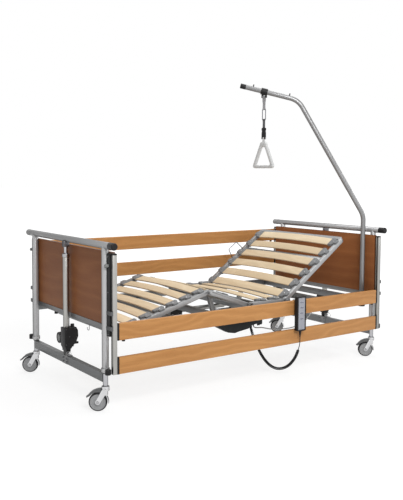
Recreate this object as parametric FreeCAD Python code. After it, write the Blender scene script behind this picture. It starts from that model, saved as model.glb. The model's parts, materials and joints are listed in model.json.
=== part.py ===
"""Adjustable hospital bed: four casters, two lifting ends, a four-part slatted platform,
two pairs of wooden side bars, a lifting pole with trapeze handle and a wired handset.

Millimetres. +X runs towards the head end, -Y is the side with the handset, +Z is up.
The bed is drawn about the point on the floor midway between its four uprights. Each piece is then
moved by FRAME_SHIFT along X, so that the origin is the middle of the floor area the bed takes up
with its wheels trailing towards the foot end."""
import FreeCAD, Part
import math, os

V = FreeCAD.Vector
UP = V(0, 0, 1)
ACROSS = V(0, 1, 0)
ALONG = V(1, 0, 0)
FOOT, HEAD = -1, 1
NEAR, FAR = -1, 1

# ---------------------------------------------------------------- general fits
RUN = 0.06                 # radial running clearance of a pin or rod in its hole
FACE = 0.3                 # clearance between faces that slide past each other

# ---------------------------------------------------------------- end frames
END_SPACING = 2080.0       # between the upright axes along the bed
SIDE_SPACING = 928.0       # between the upright axes across the bed
UPRIGHT_R = 19.0
UPRIGHT_WALL = 2.5
UPRIGHT_FOOT_Z = 208.0     # lower end of the outer tubes with the bed at its lowest
TOP_TUBE_Z = 885.0
TOP_TUBE_R = 19.0
TOP_TUBE_WALL = 2.5
TOP_TUBE_OVERHANG = 56.0   # past the uprights' axes, on each side
TOP_CAP_LENGTH = 50.0
TOP_CAP_PROUD = 0.6        # how far a cap stands out of the tube's surface
TOP_CAP_SPIGOT = 22.0
LOWER_RAIL_Z = 427.0       # underside of the rail below each panel
LOWER_RAIL_HEIGHT = 28.0
LOWER_RAIL_DEPTH = 22.0
LOWER_RAIL_SEAT = 3.0      # how deep the uprights are let into the rail
PANEL_OVERHANG = 46.0      # past the uprights' axes, on each side
PANEL_THICKNESS = 17.0
PANEL_TOP_GAP = 15.0       # between the panel and the top tube

# ---------------------------------------------------------------- base and lift
CROSSBAR_Z = 157.0
CROSSBAR_HEIGHT = 47.0
CROSSBAR_DEPTH = 30.0
INNER_R = 14.0
INNER_WALL = 2.0
INNER_FOOT_Z = 135.0
INNER_TOP_Z = 830.0
STEM_SOCKET_DEPTH = 36.0   # solid foot of the inner tube that holds the caster's stem
BUSH_LENGTH = 40.0
BUSH_FLANGE = 2.2
LIFT_OUT = 8.0             # the lift stands this far outside the uprights' plane
LIFT_TUBE_R = 18.0
LIFT_TUBE_WALL = 3.0
LIFT_TUBE_TOP_Z = 780.0
LIFT_COLLAR_R = 21.0
LIFT_COLLAR_HEIGHT = 20.0
LIFT_ROD_R = 11.0
LIFT_ROD_FOOT_Z = 290.0
LIFT_HEAD_SIZE = 32.0      # block that ties the rod to the top tube
LIFT_HEAD_HEIGHT = 26.0
GEAR_TOP_Z = 370.0
GEAR_FOOT_Z = 233.0
GEAR_HALF_WIDTH = 29.0
GEAR_BACK = 22.0           # outward reach from the lift's axis
GEAR_NOSE = 62.0           # inward reach
GEAR_NOSE_SIDE = ((12.0, 370.0), (2.0, 352.0), (0.0, 318.0), (12.0, 284.0), (34.0, 262.0))
GEAR_BACK_Z = 264.0
GEAR_WAIST_Z = 244.0
GEAR_KNOB_R = 11.0
GEAR_KNOB_HEIGHT = 16.0
GEAR_NECK_HALF = 13.0
MOTOR_R = 32.5
MOTOR_LENGTH = 96.0
MOTOR_FACE = 20.0          # outward reach of the motor's end face
MOTOR_Z = 300.0
MOTOR_SADDLE = 14.0
SADDLE_WALL = 3.0
SADDLE_LENGTH = 62.0
SADDLE_EAR = 5.0
PULL_PIN_R = 4.0
PULL_RING_R = 15.0
PULL_RING_WIRE = 1.4

# ---------------------------------------------------------------- casters
WHEEL_R = 50.0
TYRE_THICKNESS = 8.0
WHEEL_WIDTH = 28.0
HUB_WIDTH = 30.4
HUB_R = 15.0
AXLE_R = 5.0
CASTER_OFFSET = 40.0       # horizontal distance from the stem to the axle
CASTER_TRAIL_DEG = 144.5   # direction in plan in which the wheels trail, from +X
FORK_GAP = 31.0            # between the cheeks
CHEEK = 3.0
CHEEK_FOOT_R = 13.0
CROWN_R = 21.0
CROWN_FOOT_Z = 112.0
STEM_R = 5.5
GUARD_R = 55.0
GUARD_WALL = 2.5
GUARD_FROM_DEG = -8.0
GUARD_TO_DEG = 62.0
PEDAL_PIVOT_X = 14.0       # ahead of the stem along the trail direction
PEDAL_PIVOT_Z = 121.0
PEDAL_PIN_R = 3.0
PEDAL_LENGTH = 98.0
PEDAL_WIDTH = 26.0
PEDAL_SIDE = 6.0           # the part in the crown is narrower by this on each side
PEDAL_TOE_R = 4.0
PEDAL_GAP = 4.0            # between the brake's hood and the wheel

# ---------------------------------------------------------------- chassis
SIDE_RAIL_WIDTH = 25.0
SIDE_RAIL_Z = 400.0
SIDE_RAIL_HEIGHT = 45.0
CROSS_HEIGHT = 40.0
CROSS_WIDTH = 25.0
CROSS_X = (-560.0, -300.0, 40.0, 130.0, 600.0, 850.0)
CHASSIS_WALL = 2.0
HINGE_Z = 461.0
BRACKET_LENGTH = 30.0
BRACKET_GAP = 2.0          # between a bracket and the section rail beside it
HINGE_PIN_R = 6.0
PIN_HEAD_R = 9.0
PIN_HEAD = 5.0

# ---------------------------------------------------------------- platform sections
BACK_HINGE_X = 270.0
THIGH_HINGE_X = -33.0
BACK_LENGTH = 640.0
THIGH_LENGTH = 300.0
LEG_LENGTH = 640.0
BACK_DEG = 35.5            # raised at rest
THIGH_DEG = 20.0
LEG_DEG = -16.0
RAIL_HEIGHT = 26.0
RAIL_WIDTH = 26.0
SECTION_GAP = 23.5         # between the side rails and the back, seat and thigh rails
KNEE_GAP = 2.0             # between a thigh rail and the leg rail inside it
RAIL_CORNER_R = 30.0
RAIL_WALL = 2.0
TIE_WIDTH = 30.0
TIE_HEIGHT = 16.0
SEAT_RAIL_GAP = 3.0        # between the fixed seat rails and the hinged rails
SLAT_WIDTH = 64.0
SLAT_THICKNESS = 9.0
SLAT_CROWN = 12.0
SLAT_BASE = 6.5            # underside of a slat's ends above the rail's centre line
SLAT_END_IN = 22.0         # depth of a slat's end in its holder
HOLDER_LENGTH = 44.0
HOLDER_WIDTH = 71.0
HOLDER_FLOOR = 3.5
HOLDER_TOP = 21.0
BACK_SLAT_FIRST = 42.0
SLAT_PITCH = 107.2
BACK_SLATS = 6
SEAT_SLATS = 2
THIGH_SLAT_FIRST = 83.0
THIGH_SLATS = 2
LEG_SLAT_FIRST = 46.0
LEG_SLAT_PITCH = 95.0
LEG_SLATS = 6
BOW_WIRE = 3.0
BOW_FOOT_S = 285.0
BOW_WIDTH = 118.0
BOW_HEIGHT = 76.0
BOW_TAPER = 20.0
BOW_CORNER_R = 12.0

# ---------------------------------------------------------------- section drives
LEVER = 90.0               # from a section's hinge to its lever eye
BACK_LEVER_DEG = 35.0      # the lever's lean when the section lies flat
THIGH_LEVER_DEG = 14.0
BACK_DRIVE_Y = 70.0
LEG_DRIVE_Y = -70.0
DRIVE_TUBE_R = 15.0
DRIVE_TUBE_BORE = 12.0
DRIVE_ROD_R = 10.0
DRIVE_ROD_LENGTH = 300.0
EYE_R = 12.0
EYE_HALF = 7.5
EYE_NECK = 30.0
EAR_GAP = 0.6              # beside the eye; the linkage is open at this pivot
EAR_THICKNESS = 6.0
EAR_R = 14.0
DRIVE_PIN_R = 6.0
DRIVE_BOX_HEIGHT = 50.0
DRIVE_BOX_HALF = 24.0
BACK_BOX_LENGTH = 80.0
BACK_TUBE_END_X = 150.0
LEG_BOX_LENGTH = 86.0
LEG_TUBE_END_X = 100.0
DRIVE_MOTOR_R = 24.0
DRIVE_MOTOR_LENGTH = 110.0
DRIVE_MOTOR_SEAT = 10.0

# ---------------------------------------------------------------- control box
CONTROL_FRONT_Y = -225.0
CONTROL_WIDTH = 45.0
CONTROL_TOP_Z = 318.0
CONTROL_SIDE = ((-125.0, 318.0), (-125.0, 300.0), (-31.0, 252.0), (20.0, 243.0), (61.0, 250.0),
                (134.0, 259.0), (165.0, 279.0), (213.0, 284.0), (223.0, 275.0), (250.0, 273.0), (250.0, 318.0))
INLET_X = -60.0            # mains inlet on the box's far face
INLET_WIDTH = 28.0
INLET_HEIGHT = 22.0
INLET_DEPTH = 14.0
INLET_WALL = 3.0
HANGER_WIDTH = 26.0
HANGER_THICKNESS = 14.0

# ---------------------------------------------------------------- side bars and guides
GUIDE_OUT = 63.0           # from an upright's axis out to the middle of the guide rail
GUIDE_SIZE = 24.0
GUIDE_WALL = 3.0
GUIDE_SLOT = 8.0
GUIDE_TOP_Z = 838.0
GUIDE_CAP_HEIGHT = 8.0
LATCH_TOP_Z = 844.0
LATCH_FOOT_Z = 408.0
LATCH_OUT = 20.0           # depth of the latch housing outside the panel
BUTTON_Z = 781.0
BUTTON_R = 9.0
BUTTON_LENGTH = 30.0
BUTTON_PROUD = 19.0
BUTTON_TRAVEL = 4.0
BAND_HEIGHT = 22.0
BAND_THICKNESS = 3.0
BAND_Z = (532.0, 452.0)
KNOB_R = 16.0
KNOB_Z = 221.0
KNOB_HEIGHT = 30.0
KNOB_OUT_X = 10.0
KNOB_OUT_Y = 48.0
KNOB_RING_R = 24.0
KNOB_RING_HEIGHT = 20.0
BAR_HEIGHT = 91.0
BAR_THICKNESS = 22.0
LOWER_BAR_Z = 207.0        # underside of the lower bar with the bars down
BAR_PITCH = 180.0
BAR_EDGE_R = 4.0
BAR_TRAVEL = 352.0
BAR_END_PLATE = 10.0
BAR_END_CLEAR = 3.0        # between an end plate and the guide rail
SLIDER_FOOT = 8.0          # the slider stands this far above the lower bar's underside
BAR_KNOB_R = 9.0
BAR_KNOB_HEIGHT = 8.0
BAR_KNOB_IN = 30.0

# ---------------------------------------------------------------- lifting pole
POLE_X = 975.0
POLE_R = 16.5
POLE_WALL = 2.5
POLE_PLAN_DEG = 140.0      # direction in plan in which the pole leans over the bed
POLE_FOOT_Z = 362.0
POLE_BEND_Z = 985.0
POLE_ELBOW = (455.0, 1771.0)   # reach from the upright part, height
POLE_TIP = (816.0, 1861.0)
POLE_BOOM_REACH = 512.0    # the straight boom is welded to the bent tube here, past the elbow
POLE_BEND_R = 135.0
POLE_CAP_LENGTH = 38.0
PEG_R = 4.0
PEG_HEIGHT = 14.0
PEG_REACH = (520.0, 768.0)
SOCKET_R = 23.5
SOCKET_FLOOR = 7.0
SOCKET_TOP_Z = 452.0
CLAMP_REACH = 689.0
CLAMP_LENGTH = 45.0
CLAMP_R = 23.0
CLAMP_LUG = 16.0
STRAP_PIN_DROP = 34.0      # below the boom's axis
STRAP_PIN_R = 3.0
STRAP_FACE_DEG = 97.0      # direction in plan of the strap's width
STRAP_TOP_WIDTH = 30.0
STRAP_WIDTH = 22.0
STRAP_THICKNESS = 4.0
RING_TOP_Z = 1712.0
RING_HEIGHT = 76.0
RING_WIDTH = 34.0
RING_WIRE = 3.0
BUCKLE_TOP_Z = 1583.0
BUCKLE_HEIGHT = 58.0
BUCKLE_WIDTH = 34.0
BUCKLE_THICKNESS = 16.0
HANDLE_TOP_Z = 1488.0
HANDLE_FOOT_Z = 1304.0
HANDLE_WIDTH = 206.0
HANDLE_TOP_WIDTH = 44.0
HANDLE_GRIP = 22.0
HANDLE_WEB = 40.0
HANDLE_PIN_R = 4.0
HANDLE_PIN_Z = 1512.0

# ---------------------------------------------------------------- handset
HANDSET_X = 269.0
HANDSET_WIDTH = 72.0
HANDSET_DEPTH = 28.0
HANDSET_TOP_Z = 508.0
HANDSET_HEIGHT = 217.0
HANDSET_STANDOFF = 12.0
HANDSET_FRAME = 9.0
HANDSET_FACE = 2.0
HOOK_WIDTH = 40.0
HOOK_WALL = 3.0
HOOK_LIP = 26.0
RELIEF_LENGTH = 40.0
RELIEF_TOP_R = 9.0
LEAD_R = 2.6
COIL_R = 10.0
COIL_GLAND = 24.0
CABLE_GLAND_R = 7.0
CABLE_GLAND_Z = 272.0      # height of the gland on the lift housing
CABLE_R = 4.0
RAIL_KNOB_Y = 216.0
RAIL_KNOB_R = 11.0
RAIL_KNOB_HEIGHT = 15.0
HOOK_Y = -224.0
HOOK_WIRE = 1.8

# ---------------------------------------------------------------- values that follow
END_X = END_SPACING / 2
SIDE_Y = SIDE_SPACING / 2
TRAIL = math.radians(CASTER_TRAIL_DEG)
TRAIL_REACH = (PEDAL_LENGTH + PEDAL_TOE_R) * -math.cos(TRAIL) + PEDAL_WIDTH / 2 * math.sin(TRAIL)
FRAME_SHIFT = (TRAIL_REACH - LIFT_OUT - GEAR_BACK) / 2
LIFT_X = END_X + LIFT_OUT
PANEL_OUT_X = END_X - UPRIGHT_R
TOP_TUBE_LENGTH = SIDE_SPACING + 2 * TOP_TUBE_OVERHANG
PANEL_WIDTH = SIDE_SPACING + 2 * PANEL_OVERHANG
PANEL_FOOT_Z = LOWER_RAIL_Z + LOWER_RAIL_HEIGHT
PANEL_TOP_Z = TOP_TUBE_Z - TOP_TUBE_R - PANEL_TOP_GAP
SIDE_RAIL_TOP_Z = SIDE_RAIL_Z + SIDE_RAIL_HEIGHT
SIDE_RAIL_IN_Y = SIDE_Y - SIDE_RAIL_WIDTH / 2
CROSS_FOOT_Z = SIDE_RAIL_TOP_Z - CROSS_HEIGHT
SECTION_HALF = SIDE_RAIL_IN_Y - SECTION_GAP
RAIL_IN_Y = SECTION_HALF - RAIL_WIDTH
LEG_HALF = RAIL_IN_Y - KNEE_GAP
DRIVE_BACK_Z = HINGE_Z - LEVER * math.cos(math.radians(BACK_DEG - BACK_LEVER_DEG))
DRIVE_LEG_Z = HINGE_Z - LEVER * math.cos(math.radians(THIGH_DEG - THIGH_LEVER_DEG))
POLE_Y = -(SIDE_RAIL_IN_Y - SOCKET_R)
GUIDE_X = PANEL_OUT_X      # the guide rails stand in line with the panel's outer face
GUIDE_Y = SIDE_Y + GUIDE_OUT
BAR_LENGTH = 2 * (GUIDE_X - GUIDE_SIZE / 2 - BAR_END_CLEAR - BAR_END_PLATE)
BAR_OUT_Y = GUIDE_Y + BAR_THICKNESS / 2
UPPER_BAR_TOP_Z = LOWER_BAR_Z + BAR_PITCH + BAR_HEIGHT
HANDSET_BACK_Y = -(BAR_OUT_Y + HANDSET_STANDOFF)
HANDSET_FRONT_Y = HANDSET_BACK_Y - HANDSET_DEPTH
HANDSET_FOOT_Z = HANDSET_TOP_Z - HANDSET_HEIGHT


# ---------------------------------------------------------------- helpers
def box(x0, x1, y0, y1, z0, z1):
    lo = V(min(x0, x1), min(y0, y1), min(z0, z1))
    return Part.makeBox(abs(x1 - x0), abs(y1 - y0), abs(z1 - z0), lo)


def square_tube(x0, x1, y0, y1, z0, z1, wall, run):
    """Rectangular tube, open at both ends of its run ('x' or 'y')."""
    x0, x1, y0, y1 = min(x0, x1), max(x0, x1), min(y0, y1), max(y0, y1)
    dx, dy = (0, wall) if run == "x" else (wall, 0)
    return box(x0, x1, y0, y1, z0, z1).cut(box(x0 + dx, x1 - dx, y0 + dy, y1 - dy, z0 + wall, z1 - wall))


def rod(p, q, r):
    return Part.makeCylinder(r, (q - p).Length, p, q - p)


def tube(p, q, r, wall):
    return rod(p, q, r).cut(rod(p, q, r - wall))


def profile(points, at, depth):
    """Solid from an outline in (x, z), starting at y = at and depth long along +Y."""
    loop = Part.makePolygon([V(x, at, z) for x, z in points + (points[0],)])
    return Part.Face(loop).extrude(V(0, depth, 0))


def fuse(*shapes):
    return shapes[0].multiFuse(list(shapes[1:])).removeSplitter()


def cut(shape, *tools):
    for tool in tools:
        shape = shape.cut(tool)
    return shape


def save(node, *solids):
    shape = solids[0].copy() if len(solids) == 1 else Part.makeCompound(list(solids))
    shape.translate(ALONG * FRAME_SHIFT)
    shape.exportStep("parts/%s.step" % node)


def fillet_along(shape, direction, r):
    """Round every straight edge that runs along direction."""
    edges = [e for e in shape.Edges
             if e.Curve.TypeId == "Part::GeomLine" and abs(e.tangentAt(e.FirstParameter).dot(direction)) > 0.999]
    return shape.makeFillet(r, edges)


def bent_path(points, radii):
    """Wire of straight runs joined by tangent arcs, one radius for each inner point."""
    edges, here = [], points[0]
    for before, at, after, r in zip(points, points[1:], points[2:], radii):
        a, b = (before - at).normalize(), (after - at).normalize()
        half = a.getAngle(b) / 2
        back = r / math.tan(half)
        start, end = at + a * back, at + b * back
        middle = at + (a + b).normalize() * (r / math.sin(half) - r)
        edges += [Part.LineSegment(here, start).toShape(), Part.Arc(start, middle, end).toShape()]
        here = end
    edges.append(Part.LineSegment(here, points[-1]).toShape())
    return Part.Wire(edges)


def sweep(path, r):
    first = path.Edges[0]
    start = first.valueAt(first.FirstParameter)
    ring = Part.Wire(Part.makeCircle(r, start, first.tangentAt(first.FirstParameter)))
    return path.makePipeShell([ring], True, False)


def cord(name, points, r):
    """Cord of radius r through the points; each arc is as large as its two runs allow."""
    radii = []
    for before, at, after in zip(points, points[1:], points[2:]):
        turn = math.pi - (before - at).getAngle(after - at)
        run = min((at - before).Length, (after - at).Length)
        radii.append(0.45 * run / math.tan(turn / 2))
    path = bent_path(points, radii)
    solid = sweep(path, r)
    print("%s: length %.0f mm, radii %s, volume %.4f of section x length"
          % (name, path.Length, " ".join("%.0f" % x for x in radii),
             solid.Volume / (math.pi * r * r * path.Length)))
    return solid


def corners():
    return [(end, side) for end in (FOOT, HEAD) for side in (NEAR, FAR)]


# ---------------------------------------------------------------- base frames
def upright_body(end, side):
    """The full round an upright fills, for coping what meets it."""
    return rod(V(end * END_X, side * SIDE_Y, UPRIGHT_FOOT_Z),
               V(end * END_X, side * SIDE_Y, TOP_TUBE_Z), UPRIGHT_R)


def top_tube_body(end):
    half = TOP_TUBE_LENGTH / 2
    return rod(V(end * END_X, -half, TOP_TUBE_Z), V(end * END_X, half, TOP_TUBE_Z), TOP_TUBE_R)


def inner_tube(end, side):
    x, y = end * END_X, side * SIDE_Y
    foot, top = V(x, y, INNER_FOOT_Z), V(x, y, INNER_TOP_Z)
    plug = V(x, y, INNER_FOOT_Z + STEM_SOCKET_DEPTH + 4)
    stem_top = V(x, y, INNER_FOOT_Z + STEM_SOCKET_DEPTH)
    return cut(rod(foot, top, INNER_R), rod(plug, top, INNER_R - INNER_WALL), rod(foot, stem_top, STEM_R + RUN))


def base_frame(end):
    x = end * END_X
    bar = square_tube(x - CROSSBAR_DEPTH / 2, x + CROSSBAR_DEPTH / 2, -SIDE_Y, SIDE_Y,
                      CROSSBAR_Z, CROSSBAR_Z + CROSSBAR_HEIGHT, CHASSIS_WALL, "y")
    for side in (NEAR, FAR):
        post = V(x, side * SIDE_Y, CROSSBAR_Z)
        bar = bar.cut(rod(post, post + UP * CROSSBAR_HEIGHT, INNER_R))
    bar = bar.common(box(x - CROSSBAR_DEPTH, x + CROSSBAR_DEPTH, INNER_R / 2 - SIDE_Y, SIDE_Y - INNER_R / 2,
                         CROSSBAR_Z, CROSSBAR_Z + CROSSBAR_HEIGHT))
    wall = SADDLE_WALL
    half = CROSSBAR_DEPTH / 2 + wall
    top = CROSSBAR_Z + CROSSBAR_HEIGHT
    saddle = box(x - half, x + half, -SADDLE_LENGTH / 2, SADDLE_LENGTH / 2, CROSSBAR_Z, top + wall)
    saddle = saddle.cut(box(x - half + wall, x + half - wall, -SADDLE_LENGTH, SADDLE_LENGTH, CROSSBAR_Z, top))
    x = end * LIFT_X
    ear_top = GEAR_FOOT_Z - FACE
    pin_z = (top + wall + ear_top) / 2 + 2
    ears = [box(x - 12, x + 12, side * GEAR_NECK_HALF, side * (GEAR_NECK_HALF + SADDLE_EAR), top + wall, ear_top)
            for side in (NEAR, FAR)]
    hole = rod(V(x, -SADDLE_LENGTH, pin_z), V(x, SADDLE_LENGTH, pin_z), PULL_PIN_R)
    saddle = fuse(saddle, *ears).cut(hole)
    reach = GEAR_HALF_WIDTH + FACE
    pin = rod(V(x, -reach - 6, pin_z), V(x, reach, pin_z), PULL_PIN_R)
    ring = Part.makeTorus(PULL_RING_R, PULL_RING_WIRE, V(x, -reach - 4 - PULL_RING_R, pin_z), ALONG)
    lift = tube(V(x, 0, GEAR_TOP_Z), V(x, 0, LIFT_TUBE_TOP_Z), LIFT_TUBE_R, LIFT_TUBE_WALL)
    tubes = [inner_tube(end, side) for side in (NEAR, FAR)]
    return [bar, saddle, pin.fuse(ring), lift] + tubes, pin_z


def lift_drive(end, pin_z):
    """Gear housing on the crossbar, the motor beside it and the collar on the lift tube."""
    x = end * LIFT_X
    nose = GEAR_NOSE
    foot_z = CROSSBAR_Z + CROSSBAR_HEIGHT + SADDLE_WALL
    outline = ((-GEAR_NECK_HALF, foot_z), (-GEAR_NECK_HALF, GEAR_WAIST_Z), (-GEAR_BACK, GEAR_BACK_Z),
               (-GEAR_BACK, GEAR_TOP_Z), *[(nose - back, z) for back, z in GEAR_NOSE_SIDE],
               (GEAR_NECK_HALF, GEAR_WAIST_Z), (GEAR_NECK_HALF, foot_z))
    side_view = tuple((x - end * u, z) for u, z in outline)
    body = profile(side_view, -GEAR_HALF_WIDTH, 2 * GEAR_HALF_WIDTH)
    keep = fuse(box(x - 100, x + 100, -GEAR_HALF_WIDTH, GEAR_HALF_WIDTH, GEAR_FOOT_Z, GEAR_TOP_Z),
                box(x - 100, x + 100, -GEAR_NECK_HALF, GEAR_NECK_HALF, CROSSBAR_Z, GEAR_FOOT_Z))
    body = body.common(keep)
    knob_at = V(x - end * (nose - 24), 0, GEAR_TOP_Z - 4)
    knob = rod(knob_at, knob_at + UP * (GEAR_KNOB_HEIGHT + 4), GEAR_KNOB_R)
    motor_y = GEAR_HALF_WIDTH + MOTOR_R
    face_x = x + end * MOTOR_FACE
    motor = rod(V(face_x, motor_y, MOTOR_Z), V(face_x - end * MOTOR_LENGTH, motor_y, MOTOR_Z), MOTOR_R)
    saddle = box(x - end * 30, x + end * 10, GEAR_HALF_WIDTH - 2, GEAR_HALF_WIDTH + MOTOR_SADDLE,
                 MOTOR_Z - MOTOR_R + 6, MOTOR_Z + MOTOR_R - 6)
    gland = rod(V(x - end * (nose - 30), 0, CABLE_GLAND_Z), V(x - end * (nose + 12), 0, CABLE_GLAND_Z),
                CABLE_GLAND_R)
    body = fuse(body, knob, saddle, gland)
    bore = rod(V(x, 0, LIFT_ROD_FOOT_Z - 10), V(x, 0, GEAR_TOP_Z), LIFT_TUBE_R - LIFT_TUBE_WALL)
    body = cut(body, motor, bore, rod(V(x, -80, pin_z), V(x, 80, pin_z), PULL_PIN_R),
               rod(V(x, 0, GEAR_TOP_Z), V(x, 0, LIFT_TUBE_TOP_Z), LIFT_TUBE_R))
    collar = rod(V(x, 0, LIFT_TUBE_TOP_Z), V(x, 0, LIFT_TUBE_TOP_Z + LIFT_COLLAR_HEIGHT), LIFT_COLLAR_R)
    collar = collar.cut(rod(V(x, 0, LIFT_TUBE_TOP_Z - 1), V(x, 0, LIFT_TUBE_TOP_Z + 99), LIFT_ROD_R + RUN))
    return [body, motor, collar]


for end, name in ((FOOT, "foot"), (HEAD, "head")):
    frame, pull_z = base_frame(end)
    save(name + "_base_frame", *frame)
    save(name + "_lift_drive", *lift_drive(end, pull_z))


# ---------------------------------------------------------------- casters
def caster(end, side):
    """Fork, wheel and brake pedal, built trailing along +X at the origin, then turned in place."""
    crown_top = INNER_FOOT_Z - FACE
    axle = V(CASTER_OFFSET, 0, WHEEL_R)
    half = FORK_GAP / 2
    crown = rod(V(0, 0, CROWN_FOOT_Z), V(0, 0, crown_top), CROWN_R)
    stem = rod(V(0, 0, crown_top), V(0, 0, INNER_FOOT_Z + STEM_SOCKET_DEPTH - 2), STEM_R)
    cheeks = []
    for s in (-1, 1):
        outline = ((-17.0, CROWN_FOOT_Z + 6), (17.0, CROWN_FOOT_Z + 6),
                   (CASTER_OFFSET + CHEEK_FOOT_R, WHEEL_R), (CASTER_OFFSET - CHEEK_FOOT_R, WHEEL_R - 4))
        y0 = half if s > 0 else -half - CHEEK
        plate = profile(outline, y0, CHEEK)
        boss = rod(V(axle.x, y0, axle.z), V(axle.x, y0 + CHEEK, axle.z), CHEEK_FOOT_R)
        cheeks.append(fuse(plate, boss))
    bridge = box(-17, 17, -half - CHEEK, half + CHEEK, CROWN_FOOT_Z, CROWN_FOOT_Z + 6)
    out = half + CHEEK
    pin = rod(V(axle.x, -out - 4, axle.z), V(axle.x, out + 4, axle.z), AXLE_R)
    arc = cut(rod(V(axle.x, -half + 2, axle.z), V(axle.x, half - 2, axle.z), GUARD_R + GUARD_WALL),
              rod(V(axle.x, -half, axle.z), V(axle.x, half, axle.z), GUARD_R))
    reach = 4 * GUARD_R
    a0, a1 = math.radians(180 - GUARD_TO_DEG), math.radians(180 - GUARD_FROM_DEG)
    wedge = profile(((axle.x, axle.z), (axle.x + reach * math.cos(a0), axle.z + reach * math.sin(a0)),
                     (axle.x + reach * math.cos(a1), axle.z + reach * math.sin(a1))), -half, 2 * half)
    guard = arc.common(wedge)
    guard_neck = box(-12, 4, -half + 2, half - 2, WHEEL_R, CROWN_FOOT_Z + 1).cut(
        rod(V(axle.x, -half, axle.z), V(axle.x, half, axle.z), GUARD_R))
    guard_neck = guard_neck.cut(box(-12, 4, -half, half, WHEEL_R - 1, CROWN_FOOT_Z - 26))
    pivot = V(PEDAL_PIVOT_X, 0, PEDAL_PIVOT_Z)
    tongue = PEDAL_WIDTH / 2 - PEDAL_SIDE
    slot = box(PEDAL_PIVOT_X - 9, CROWN_R + 9, -tongue, tongue, CROWN_FOOT_Z - 9, PEDAL_PIVOT_Z + 8)
    pedal_pin = rod(pivot - ACROSS * (tongue + 5), pivot + ACROSS * (tongue + 5), PEDAL_PIN_R)
    fork = fuse(crown, stem, bridge, pin, guard, guard_neck, *cheeks).cut(slot)
    fork = fuse(fork, pedal_pin)

    wheel = rod(axle - ACROSS * (WHEEL_WIDTH / 2), axle + ACROSS * (WHEEL_WIDTH / 2), WHEEL_R)
    wheel = wheel.makeChamfer(3, [e for e in wheel.Edges if e.Curve.TypeId == "Part::GeomCircle"])
    hub = rod(axle - ACROSS * (HUB_WIDTH / 2), axle + ACROSS * (HUB_WIDTH / 2), HUB_R)
    groove_r = WHEEL_R - TYRE_THICKNESS
    for s in (-1, 1):
        outer = axle + ACROSS * (s * WHEEL_WIDTH / 2)
        inner = axle + ACROSS * (s * (WHEEL_WIDTH / 2 - 5))
        wheel = wheel.cut(rod(inner, outer, groove_r).cut(rod(inner, outer, HUB_R)))
    bore = rod(axle - ACROSS * 40, axle + ACROSS * 40, AXLE_R + RUN)
    wheel = fuse(wheel, hub).cut(bore)

    hood = WHEEL_R + PEDAL_GAP
    under = [(axle.x + hood * math.cos(math.radians(a)), axle.z + hood * math.sin(math.radians(a)))
             for a in (112, 92, 72, 52, 38)]
    px, pz = PEDAL_PIVOT_X, PEDAL_PIVOT_Z
    side_view = ((px - 5.0, pz - 5.0),) + tuple(under) + (
        (PEDAL_LENGTH - 3, pz - 44.0), (PEDAL_LENGTH, pz - 40.0), (PEDAL_LENGTH - 14, pz - 24.0),
        (PEDAL_LENGTH - 30, pz - 10.0), (PEDAL_LENGTH - 52, pz - 1.0), (px + 6, pz + 4.0), (px - 5.0, pz + 5.0))
    narrow = tongue - FACE
    whole = profile(side_view, -PEDAL_WIDTH / 2, PEDAL_WIDTH)
    keep = fuse(box(px - 9, 2 * PEDAL_LENGTH, -narrow, narrow, 0, 2 * pz),
                box(CROWN_R + 3, 2 * PEDAL_LENGTH, -PEDAL_WIDTH / 2, PEDAL_WIDTH / 2, 0, 2 * pz))
    toe_at = V(PEDAL_LENGTH, 0, pz - 42.0)
    toe = rod(toe_at - ACROSS * (PEDAL_WIDTH / 2), toe_at + ACROSS * (PEDAL_WIDTH / 2), PEDAL_TOE_R)
    pedal = fuse(whole.common(keep), toe).cut(rod(pivot - ACROSS * 40, pivot + ACROSS * 40, PEDAL_PIN_R + RUN))
    place = FreeCAD.Placement(V(end * END_X, side * SIDE_Y, 0), FreeCAD.Rotation(UP, CASTER_TRAIL_DEG))
    for piece in (fork, wheel, pedal):
        piece.Placement = place
    return fork, wheel, pedal


for end, side in corners():
    name = ("foot" if end == FOOT else "head") + ("_near" if side == NEAR else "_far")
    fork, wheel, pedal = caster(end, side)
    save(name + "_fork", fork)
    save(name + "_wheel", wheel)
    save(name + "_brake_pedal", pedal)


# ---------------------------------------------------------------- end frames and panels
def lower_rail_body(end):
    """The full square the rail below a panel fills, for coping what meets it."""
    face = end * (PANEL_OUT_X + LOWER_RAIL_SEAT)
    return box(face - end * LOWER_RAIL_DEPTH, face, -SIDE_Y, SIDE_Y, LOWER_RAIL_Z, LOWER_RAIL_Z + LOWER_RAIL_HEIGHT)


def end_frame(end):
    x = end * END_X
    half = TOP_TUBE_LENGTH / 2
    pieces = [cut(top_tube_body(end),
                  rod(V(x, -half, TOP_TUBE_Z), V(x, half, TOP_TUBE_Z), TOP_TUBE_R - TOP_TUBE_WALL))]
    face = end * (PANEL_OUT_X + LOWER_RAIL_SEAT)
    rail = square_tube(face - end * LOWER_RAIL_DEPTH, face, -SIDE_Y, SIDE_Y,
                       LOWER_RAIL_Z, LOWER_RAIL_Z + LOWER_RAIL_HEIGHT, CHASSIS_WALL, "y")
    for side in (NEAR, FAR):
        y = side * SIDE_Y
        post = tube(V(x, y, UPRIGHT_FOOT_Z), V(x, y, TOP_TUBE_Z), UPRIGHT_R, UPRIGHT_WALL)
        pieces.append(post.cut(top_tube_body(end)))
        rail = rail.cut(upright_body(end, side))
    pieces.append(rail)
    return pieces


def lift_rod(end):
    x = end * LIFT_X
    head_foot = TOP_TUBE_Z - TOP_TUBE_R - LIFT_HEAD_HEIGHT
    half = LIFT_HEAD_SIZE / 2
    rod_body = rod(V(x, 0, LIFT_ROD_FOOT_Z), V(x, 0, head_foot), LIFT_ROD_R)
    block = box(x - half, x + half, -half, half, head_foot, TOP_TUBE_Z - TOP_TUBE_R / 2).cut(top_tube_body(end))
    return fuse(rod_body, block)


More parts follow.
